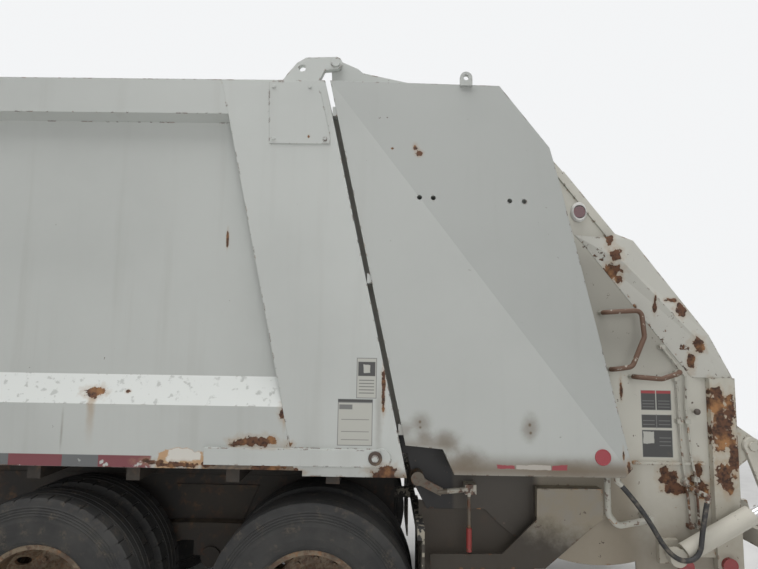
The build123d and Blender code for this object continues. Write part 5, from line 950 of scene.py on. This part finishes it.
def pin_ring(finish, tone, fleck, lobes):
    """The bar's end pin: bare white in the middle of a ring of dark oily rust."""
    ring_x, ring_z = PIN_RING
    far = finish.shaken(finish.oval(rear_axle + ring_x, ring_z, PIN_RING_R, PIN_RING_R), lobes, 0.25)
    within = finish.rise(far, 1.06, 0.98)
    outside_middle = finish.rise(far, RING_INSIDE - 0.04, RING_INSIDE + 0.04)
    return finish.mix(tone, RING_DARK, finish.times(within, outside_middle))


frame_paint = weathered_paint("frame_paint", shaded(BODY_WHITE, FRAME_LIFT), streaks=0.18, dust_top=1.25,
                              chips=0.6, specks=0.45, spots=frame_spots, grime=frame_grime, marks=frame_marks,
                              shade=frame_shade, add=pin_ring)
wear("rear_frame", frame_paint)

# Tailgate covers: two facets of sheet over the packing cylinders on each side, hung on
# the top pins with the rest of the tailgate. Grime has worked out round the bolts and
# along the low edge, where scraps of red tape are left.
COVER_SHADE = 0.93
COVER_GRIME = (0.15, 0.115, 0.075, 1)
LOW_GRIME = (0.135, 0.100, 0.062, 1)
SCRAP_RED = (0.26, 0.040, 0.050, 1)
SCRAP_GREY = (0.40, 0.37, 0.33, 1)
# Painted shade with dust: the leaning facet of the covers is painted darker.
FACET_SHADE_DUST = (0.27, 0.28, 0.27, 1)
FACET_SHADE_SHARE = 0.65

cover_spots = (
    # x, z, half width, half height, run down
    (0.505, 2.915, 0.014, 0.022, 0.0),
    (0.520, 2.882, 0.022, 0.014, 0.03),
    (0.380, 2.905, 0.008, 0.006, 0.0),
    (1.560, 1.330, 0.006, 0.030, 0.03),
    (1.585, 1.270, 0.012, 0.030, 0.0),
)
cover_grime = (
    # x, z, half width, half height, amount
    (0.538, 1.465, 0.075, 0.085, 0.55),
    (1.093, 1.452, 0.060, 0.095, 0.55),
    (0.463, 1.434, 0.060, 0.060, 0.45),
    (0.665, 1.392, 0.090, 0.075, 0.60),
    (0.770, 1.290, 0.150, 0.090, 0.70),
    (1.300, 1.250, 0.330, 0.070, 0.55),
    (0.560, 1.400, 0.060, 0.050, 0.50),
    (0.538, 1.476, 0.010, 0.012, 1.0),
    (0.540, 1.448, 0.010, 0.010, 1.0),
    (1.092, 1.470, 0.010, 0.012, 1.0),
    (1.096, 1.430, 0.010, 0.010, 1.0),
)
cover_shade = (
    # x0, x1, z0, z1, colour, amount, fade
    (0.66, 1.62, 1.200, 1.292, LOW_GRIME, 0.85, 0.050),
    (0.40, 0.72, 1.345, 1.385, COVER_GRIME, 0.70, 0.05),
)
cover_marks = (
    # x0, x1, z0, z1, colour, ragged
    (0.925, 1.015, 1.250, 1.272, SCRAP_RED, 0.030),
    (1.020, 1.195, 1.251, 1.273, SCRAP_GREY, 0.024),
    (1.200, 1.275, 1.250, 1.273, SCRAP_RED, 0.024),
)


def facet_shade_and_dust(finish, tone, fleck, lobes):
    """The facet that leans inwards is painted darker: painted shade, with a film of grey dust."""
    leaning = finish.between(finish.parts(finish.normal)[2], 0.08, 0.50, 0.03)
    return finish.mix(tone, FACET_SHADE_DUST, finish.times(leaning, FACET_SHADE_SHARE))


cover_paint = weathered_paint("cover_paint", shaded(BODY_WHITE, COVER_SHADE), streaks=0.14, dust_top=1.25,
                              chips=0.6, specks=0.8, spots=cover_spots, grime=cover_grime, shade=cover_shade,
                              marks=cover_marks, add=facet_shade_and_dust)
for node in ("tailgate_covers", "tailgate_roof"):
    wear(node, cover_paint)

# Hopper sides: flat plates set inboard of the covers, with the posts that carry the bin
# lift. Bins and refuse have chipped their paint down to brown rust, and road mud has
# turned the plates below the covers brown. Further forward under the covers the plates
# are painted near black, as painted shade with mud, and the cavity by the lock is painted
# black as painted shade; the upper plates under the band carry a painted shadow. Three
# blank dark plates stand in a column.
HOPPER_WHITE = (0.510, 0.498, 0.440, 1)
HOPPER_SIDE = 1.020
BRACKET_TAN = (0.245, 0.212, 0.158, 1)
BRACKET_FOOT = (0.024, 0.018, 0.012, 1)
BRACKET_OUT = 0.034
BRACKET_TOP = 1.160
MUD_SLOPE = 0.25
SLOPE_START = 1.2
MUD_LINE = (1.02, 0.82)
KNOB = (2.023, 1.532)
KNOB_R = 0.02
KNOB_DARK = (0.075, 0.060, 0.050, 1)
SHADOW_GREY = (0.25, 0.24, 0.205, 1)
LOW_TAN = (0.24, 0.20, 0.145, 1)
# Painted shade with mud, for the plates under the covers:
UNDER_COVER_SHADE_AND_MUD = (0.034, 0.027, 0.020, 1)
FOOT_BROWN = (0.12, 0.095, 0.065, 1)
# Painted shade, for the deep cavity by the lock:
CAVITY_SHADE = (0.007, 0.006, 0.006, 1)
PLATE_RED = (0.30, 0.040, 0.045, 1)
COLUMN = (1.743, 1.909)
COLUMN_EDGE = 0.003
COLUMN_PLATES = ((1.531, 1.640), (1.437, 1.511), (1.283, 1.430))
PRINT_LEFT = 0.010
PRINT_RIGHT = 0.094
PRINT_LENGTH = 0.062
PRINT_LINE = 0.004

hopper_spots = (
    # x, z, half width, half height, run down
    (1.865, 1.196, 0.045, 0.055, 0.10),
    (1.920, 1.120, 0.075, 0.024, 0.05),
    (2.030, 1.210, 0.024, 0.060, 0.08),
    (2.056, 1.112, 0.050, 0.030, 0.10),
    (1.996, 1.173, 0.016, 0.030, 0.05),
    (2.119, 1.098, 0.040, 0.040, 0.10),
    (1.640, 1.640, 0.008, 0.050, 0.0),
    (1.600, 1.470, 0.012, 0.030, 0.0),
)
column_left, column_right = COLUMN
hopper_marks = []
for low, high in COLUMN_PLATES:
    hopper_marks += [(column_left, column_right, low, high, PLATE_PALE, 0.0),
                     (column_left + COLUMN_EDGE, column_right - COLUMN_EDGE,
                      low + COLUMN_EDGE, high - COLUMN_EDGE, PLATE_BLACK, 0.0)]
hopper_marks += [
    # x0, x1, z0, z1, colour, ragged
    (column_left + COLUMN_EDGE, column_right - COLUMN_EDGE, 1.622, 1.637, PLATE_RED, 0.0),
    (column_left + 0.080, column_left + 0.085, 1.531, 1.640, PLATE_PALE, 0.0),
    (column_left + 0.080, column_left + 0.084, 1.437, 1.511, PLATE_LINE, 0.0),
    (column_left + 0.008, column_left + 0.066, 1.358, 1.420, PLATE_PALE, 0.03),
]
for left, heights in ((PRINT_LEFT, (1.548, 1.564, 1.580, 1.455, 1.475)),
                      (PRINT_RIGHT, (1.548, 1.564, 1.580, 1.455, 1.475, 1.345, 1.365, 1.385))):
    hopper_marks += ruled(column_left + left, column_left + left + PRINT_LENGTH, heights, PRINT_LINE)
# Rows one, three and four are painted shade: a painted shadow on the upper plates under the band, near black
# under the covers as painted shade with mud, and black in the cavity by the lock.
hopper_shade = (
    # x0, x1, z0, z1, colour, amount, fade
    (1.20, 2.08, 1.780, 2.450, SHADOW_GREY, 0.80, 0.16),
    (1.10, 1.70, 0.600, 1.255, LOW_TAN, 0.75, 0.06),
    (-0.20, 1.175, 0.300, 1.235, UNDER_COVER_SHADE_AND_MUD, 0.97, 0.03),
    (-0.20, 0.730, 0.900, 1.420, CAVITY_SHADE, 1.0, 0.012),
    (1.60, 2.24, 0.600, 0.900, FOOT_BROWN, 0.55, 0.14),
)


def bracket_mud(finish, tone, fleck, lobes):
    """The brackets that stand off the side are tan with mud, and near black at their foot."""
    stand = finish.calc("ABSOLUTE", finish.y)
    apart = finish.rise(stand, HOPPER_SIDE + BRACKET_OUT, HOPPER_SIDE + BRACKET_OUT + 0.006)
    on_bracket = finish.times(apart, finish.rise(finish.z, BRACKET_TOP, BRACKET_TOP - 0.010))
    mud = finish.mix(BRACKET_TAN, STREAK, finish.rise(lobes, 0.40, 0.65))
    slanted = finish.plus(finish.z, finish.times(finish.less(finish.x, rear_axle + SLOPE_START), MUD_SLOPE))
    low = finish.rise(finish.shaken(slanted, lobes, 0.25), *MUD_LINE)
    mud = finish.mix(mud, BRACKET_FOOT, finish.times(low, 0.95))
    tone = finish.mix(tone, mud, on_bracket)
    far = finish.oval(rear_axle + KNOB[0], KNOB[1], KNOB_R, KNOB_R)
    return finish.mix(tone, KNOB_DARK, finish.times(apart, finish.rise(far, 1.1, 1.0)))


hopper_paint = weathered_paint("hopper_paint", HOPPER_WHITE, streaks=0.30, dust_top=1.35, chips=1.0,
                               flakes=0.675, specks=1.5, orange=0.95, spots=hopper_spots, marks=hopper_marks,
                               shade=hopper_shade, add=bracket_mud)
wear("hopper_sides", hopper_paint)

# Posts and lift: box posts at the hopper's mouth with the arms, cylinders and bar of the
# bin lift. Steel bins have scraped much of the paint off, so that brown rust shows.
POST_WHITE = (0.475, 0.458, 0.395, 1)
LIFT_WHITE = (0.52, 0.50, 0.435, 1)

post_spots = (
    # x, z, half width, half height, run down
    (2.139, 1.439, 0.055, 0.100, 0.20),
    (2.120, 1.565, 0.050, 0.050, 0.10),
    (2.200, 1.540, 0.035, 0.070, 0.10),
    (2.127, 1.640, 0.030, 0.030, 0.0),
    (2.211, 1.312, 0.028, 0.090, 0.15),
    (2.160, 1.180, 0.045, 0.070, 0.15),
)
post_paint = weathered_paint("post_paint", POST_WHITE, streaks=0.30, dust_top=1.30, chips=1.0,
                             flakes=0.640, specks=1.6, orange=0.8, spots=post_spots)
wear("rear_posts", post_paint)
lift_paint = weathered_paint("lift_paint", LIFT_WHITE, streaks=0.35, dust_top=1.1, chips=1.0,
                             flakes=0.660, specks=1.2, gloss=0.5)
for node in ("lift_frame", "lift_barrel_left", "lift_barrel_right"):
    wear(node, lift_paint)

# Hopper bands: a pressed stiffener along each side's raked rear edge, folded outwards to
# a ridge and back to the flange, and welded all round. Its paint flakes to brown rust.
BAND = (
    # x from the rear axle, z, height off the side: the inner, ridge and outer lines
    ((1.405, 2.488, 0.002), (1.459, 2.429, 0.002), (2.020, 1.711, 0.002)),
    ((1.560, 2.470, 0.030), (1.661, 2.328, 0.042), (2.087, 1.867, 0.042), (2.150, 1.711, 0.032)),
    ((1.627, 2.495, 0.014), (1.726, 2.457, 0.014), (2.118, 1.941, 0.014), (2.235, 1.711, 0.014)),
)
BAND_FACES = (
    # the points of each face, counted along the three lines in turn
    (0, 1, 4, 3), (1, 2, 5, 4), (2, 6, 5), (3, 4, 8, 7), (4, 5, 9, 8), (5, 6, 10, 9),
)
BAND_RIM = (0, 1, 2, 6, 10, 9, 8, 7, 3)
BAND_SEAT = 0.0005
BAND_WHITE = (0.50, 0.495, 0.450, 1)
band_spots = (
    # x, z, half width, half height, run down
    (1.592, 2.457, 0.024, 0.045, 0.03),
    (1.628, 2.373, 0.030, 0.030, 0.03),
    (1.609, 2.289, 0.050, 0.032, 0.02),
    (1.640, 2.240, 0.018, 0.032, 0.0),
    (1.826, 2.100, 0.008, 0.045, 0.0),
    (1.919, 2.129, 0.030, 0.012, 0.0),
    (1.971, 2.075, 0.034, 0.040, 0.0),
    (2.044, 1.886, 0.032, 0.040, 0.05),
    (2.115, 1.684, 0.018, 0.030, 0.05),
    (2.020, 1.790, 0.022, 0.055, 0.05),
)
band_paint = weathered_paint("band_paint", BAND_WHITE, streaks=0.12, chips=1.0, flakes=0.665,
                             specks=1.5, spots=band_spots)
for side_name, side in SIDES:
    shape = bmesh.new()
    raised = [shape.verts.new((rear_axle + x, side * (HOPPER_SIDE + out), z))
              for line in BAND for x, z, out in line]
    seat_y = side * (HOPPER_SIDE + BAND_SEAT)
    seated = {number: shape.verts.new((raised[number].co.x, seat_y, raised[number].co.z))
              for number in BAND_RIM}
    for face in BAND_FACES:
        shape.faces.new([raised[number] for number in face])
    shape.faces.new([seated[number] for number in BAND_RIM])
    for first, second in zip(BAND_RIM, BAND_RIM[1:] + BAND_RIM[:1]):
        shape.faces.new((raised[first], raised[second], seated[second], seated[first]))
    bmesh.ops.recalc_face_normals(shape, faces=shape.faces[:])
    band_name = f"hopper_band_{side_name}"
    add_piece(band_name, shape_mesh(band_name, shape), band_paint, "tailgate")

# Splash plates: a flat plate on each side in front of the hopper's floor, welded under
# the apron, that keeps the wheels' spray off the trough. It is caked with dark mud.
SPLASH = (
    # x from the rear axle, z
    (0.548, 1.040), (0.548, 0.610), (1.160, 0.610), (1.160, 1.010), (0.900, 1.010),
)
SPLASH_OUT = (1.000, 1.008)
SPLASH_BLACK = (0.040, 0.034, 0.027, 1)

splash_mud = muddy("splash_mud", SPLASH_BLACK, mud=0.8, rust=0.2)
for side_name, side in SIDES:
    shape = bmesh.new()
    inside, outside = ([shape.verts.new((rear_axle + x, side * out, z)) for x, z in SPLASH]
                       for out in SPLASH_OUT)
    shape.faces.new(inside)
    shape.faces.new(outside)
    for number in range(len(SPLASH)):
        following = (number + 1) % len(SPLASH)
        shape.faces.new((inside[number], inside[following], outside[following], outside[number]))
    bmesh.ops.recalc_face_normals(shape, faces=shape.faces[:])
    splash_name = f"splash_plate_{side_name}"
    add_piece(splash_name, shape_mesh(splash_name, shape), splash_mud, "tailgate")

# Grab rails and lines: bent round bar that hands and weather have worn to brown rust,
# steel oil lines in the side's paint, rusty low down, and a drain pipe in off-white.
RAIL_FOOT = 1.66
RAIL_OUT = 0.040
LINE_WHITE = (0.42, 0.41, 0.36, 1)
RAIL_BROWN = (0.120, 0.066, 0.042, 1)
RAIL_PAINT = (0.40, 0.37, 0.31, 1)
LINE_RUST_X = (1.80, 1.85)
LINE_RUST_Z = (1.24, 1.12)

rail_finish = Finish("rail_and_line")
rail_grain = rail_finish.noise(38.0, detail=9.0)
rail_stand = rail_finish.calc("ABSOLUTE", rail_finish.y)
stands_off = rail_finish.rise(rail_stand, HOPPER_SIDE + RAIL_OUT, HOPPER_SIDE + RAIL_OUT + 0.005)
is_rail = rail_finish.times(rail_finish.rise(rail_finish.z, RAIL_FOOT, RAIL_FOOT + 0.01), stands_off)
line_rusty = rail_finish.times(rail_finish.rise(rail_grain, 0.56, 0.64), 0.8)
line_tone = rail_finish.mix(LINE_WHITE, rust_tone(rail_finish, 3.0), line_rusty)
low_rust = rail_finish.rise(rail_finish.z, *LINE_RUST_Z)
low_rust = rail_finish.times(low_rust, rail_finish.rise(rail_grain, 0.40, 0.52))
low_rust = rail_finish.times(low_rust, rail_finish.rise(rail_finish.x, *(rear_axle + x for x in LINE_RUST_X)))
line_tone = rail_finish.mix(line_tone, rust_tone(rail_finish, 5.0), low_rust)
rail_tone = rail_finish.mix(RAIL_BROWN, RAIL_PAINT, rail_finish.rise(rail_grain, 0.60, 0.66))
rail_tone = rail_finish.mix(line_tone, rail_tone, is_rail)
wear("grab_rails", rail_finish.set(rail_tone, 0.6, relief=rail_grain, depth=0.0012))

# Gate locks: forged links and a clamp with a long handle, in bare oily steel and mud. The
# handle ends in a red grip, and the clamp keeps some of its pale paint.
CLAMP = (0.690, 0.850, 1.085, 1.160)
GRIP = (0.780, 0.825, 0.800, 0.929)
LOCK_STEEL = (0.110, 0.090, 0.066, 1)
CLAMP_PALE = (0.36, 0.34, 0.29, 1)
GRIP_RED = (0.24, 0.030, 0.026, 1)

lock_finish = Finish("lock_steel")
lock_grain = lock_finish.noise(30.0, detail=9.0)
lock_rusty = lock_finish.rise(lock_grain, 0.5, 0.62)
lock_tone = lock_finish.mix(LOCK_STEEL, rust_tone(lock_finish, 6.0), lock_rusty)
on_clamp = lock_finish.patch(rear_axle + CLAMP[0], rear_axle + CLAMP[1], *CLAMP[2:])
clamp_clean = lock_finish.times(on_clamp, lock_finish.rise(lock_grain, 0.62, 0.52))
lock_tone = lock_finish.mix(lock_tone, CLAMP_PALE, clamp_clean)
on_grip = lock_finish.patch(rear_axle + GRIP[0], rear_axle + GRIP[1], *GRIP[2:])
grip_clean = lock_finish.times(on_grip, lock_finish.rise(lock_grain, 0.66, 0.56))
lock_tone = lock_finish.mix(lock_tone, GRIP_RED, grip_clean)
wear("gate_locks", lock_finish.set(lock_tone, 0.55, relief=lock_grain, depth=0.0015, round_edges=0.002))

# The hopper's inside and the packer: thick wear plate, scoured by refuse to dull steel
# with brown stains, with the packer's carriage in tracks and its blade on a cross tube.
SCOURED_STEEL = (0.17, 0.155, 0.135, 1)
SCOURED_DARK = (0.070, 0.058, 0.045, 1)

worn_steel = Finish("worn_steel")
scour = worn_steel.noise(3.0, detail=9.0, stretch=(1.0, 6.0, 1.0))
stain = worn_steel.noise(2.4, detail=8.0, shift=5.0)
steel_tone = worn_steel.mix(SCOURED_STEEL, SCOURED_DARK, worn_steel.rise(scour, 0.35, 0.7))
steel_stained = worn_steel.times(worn_steel.rise(stain, 0.46, 0.62), 0.7)
steel_tone = worn_steel.mix(steel_tone, rust_tone(worn_steel), steel_stained)
worn_steel.set(steel_tone, 0.55, 0.35, scour, depth=0.002)
for node in ("hopper_floor", "packer_tracks", "packer_carriage", "packer_blade"):
    wear(node, worn_steel)

# Lift rods: hard chrome on ground steel, which slides in the barrels' seals. Oil and
# dust have left a brown film on the chrome.
CHROME = (0.62, 0.62, 0.62, 1)
OIL_FILM = (0.26, 0.21, 0.15, 1)

rod_chrome = Finish("rod_chrome")
rod_film = rod_chrome.noise(18.0, detail=6.0)
rod_tone = rod_chrome.mix(CHROME, OIL_FILM, rod_chrome.rise(rod_film, 0.5, 0.75))
rod_rough = rod_chrome.plus(0.1, rod_chrome.times(rod_film, 0.3))
rod_chrome.set(rod_tone, rod_rough, 0.9)
for node in ("lift_rod_left", "lift_rod_right"):
    wear(node, rod_chrome)

# Lamps: red ribbed lenses low down, a small deep red marker lamp in an oval white
# housing on each side, and clear fluted headlamps.
MARKER = (1.430, 2.616)
MARKER_LENS = 0.0345
MARKER_HALF_HIGH = 0.056
MARKER_HALF_WIDE = 0.043
MARKER_RISE = 0.026
LENS_RED = (0.30, 0.018, 0.020, 1)
LENS_RIB = (0.17, 0.014, 0.016, 1)
LENS_DEEP = (0.085, 0.010, 0.016, 1)
LENS_COAT = 0.6
LENS_RATE = 1500.0
CLEAR_GREY = (0.55, 0.57, 0.60, 1)
FLUTE_RATE = 900.0
HOUSING_WHITE = (0.60, 0.60, 0.58, 1)
HOUSING_DIRT = (0.30, 0.27, 0.22, 1)
RING_TURNS = 48

lamp_red = Finish("lamp_red")
red_lines = lamp_red.ripple(lamp_red.z, LENS_RATE)
lamp_red.shader.inputs["Coat Weight"].default_value = LENS_COAT
high_up = lamp_red.rise(lamp_red.z, 2.0, 2.1)
lens_tone = lamp_red.mix(LENS_RED, LENS_RIB, lamp_red.rise(red_lines, -0.5, 0.9))
lens_tone = lamp_red.mix(lens_tone, LENS_DEEP, high_up)
lamp_red.set(lens_tone, 0.25, relief=red_lines, depth=0.0006)
wear("tail_lamps", lamp_red)

lamp_clear = Finish("lamp_clear")
lens_lines = lamp_clear.ripple(lamp_clear.y, FLUTE_RATE)
lamp_clear.set(CLEAR_GREY, 0.12, 0.35, lens_lines, depth=0.0008, round_edges=0.003)
wear("headlamps", lamp_clear)

lamp_housing = Finish("lamp_housing")
housing_dirt = lamp_housing.noise(40.0, detail=6.0)
housing_tone = lamp_housing.mix(HOUSING_WHITE, HOUSING_DIRT, lamp_housing.rise(housing_dirt, 0.55, 0.75))
lamp_housing.set(housing_tone, 0.35, relief=housing_dirt, depth=0.0005)


def ring_piece(name, sections, x, z, side, finish):
    """A closed ring round (x, z) on a side: sections are (half width, half height, distance out)."""
    angles = [2 * pi * turn / RING_TURNS for turn in range(RING_TURNS)]
    points = [(x + wide * cos(angle), side * out, z + high * sin(angle))
              for angle in angles for wide, high, out in sections]
    count = len(sections)
    faces = [(turn * count + step, turn * count + (step + 1) % count,
              (turn + 1) % RING_TURNS * count + (step + 1) % count, (turn + 1) % RING_TURNS * count + step)
             for turn in range(RING_TURNS) for step in range(count)]
    mesh = bpy.data.meshes.new(name)
    mesh.from_pydata(points, [], faces if side < 0 else [face[::-1] for face in faces])
    add_piece(name, mesh, finish, "tailgate")


for side_name, side in SIDES:
    ring_piece(f"marker_housing_{side_name}", (
        (MARKER_HALF_WIDE, MARKER_HALF_HIGH, HOPPER_SIDE + 0.0005),
        (MARKER_HALF_WIDE, MARKER_HALF_HIGH, HOPPER_SIDE + MARKER_RISE * 0.6),
        (MARKER_HALF_WIDE - 0.006, MARKER_HALF_HIGH - 0.008, HOPPER_SIDE + MARKER_RISE),
        (MARKER_LENS, MARKER_LENS + 0.004, HOPPER_SIDE + MARKER_RISE),
        (MARKER_LENS, MARKER_LENS, HOPPER_SIDE + 0.0005),
    ), rear_axle + MARKER[0], MARKER[1], side, lamp_housing)

# Side reflectors: a round lens of red plastic, moulded in fine prisms with a thin raised
# rim, and stuck low on the outer face of each cover.
REFLECTOR = (1.455, 1.317)
REFLECTOR_R = 0.040
PRISM_RATE = 1600.0
PRISM_RED = (0.34, 0.016, 0.030, 1)
PRISM_DARK = (0.20, 0.012, 0.020, 1)
PRISM_COAT = 0.5
cover_side = -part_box("tailgate_covers")[0].y

reflector_red = Finish("reflector_red")
prisms = reflector_red.times(reflector_red.ripple(reflector_red.x, PRISM_RATE),
                             reflector_red.ripple(reflector_red.z, PRISM_RATE))
reflector_red.shader.inputs["Coat Weight"].default_value = PRISM_COAT
prism_tone = reflector_red.mix(PRISM_RED, PRISM_DARK, reflector_red.rise(prisms, -0.3, 0.6))
reflector_red.set(prism_tone, 0.3, relief=prisms, depth=0.0004)
for side_name, side in SIDES:
    ring_piece(f"round_reflector_{side_name}", (
        (REFLECTOR_R, REFLECTOR_R, cover_side + 0.0003),
        (REFLECTOR_R, REFLECTOR_R, cover_side + 0.0045),
        (REFLECTOR_R - 0.003, REFLECTOR_R - 0.003, cover_side + 0.006),
        (REFLECTOR_R - 0.006, REFLECTOR_R - 0.006, cover_side + 0.0045),
        (0.0005, 0.0005, cover_side + 0.0050),
        (0.0005, 0.0005, cover_side + 0.0003),
    ), rear_axle + REFLECTOR[0], REFLECTOR[1], side, reflector_red)
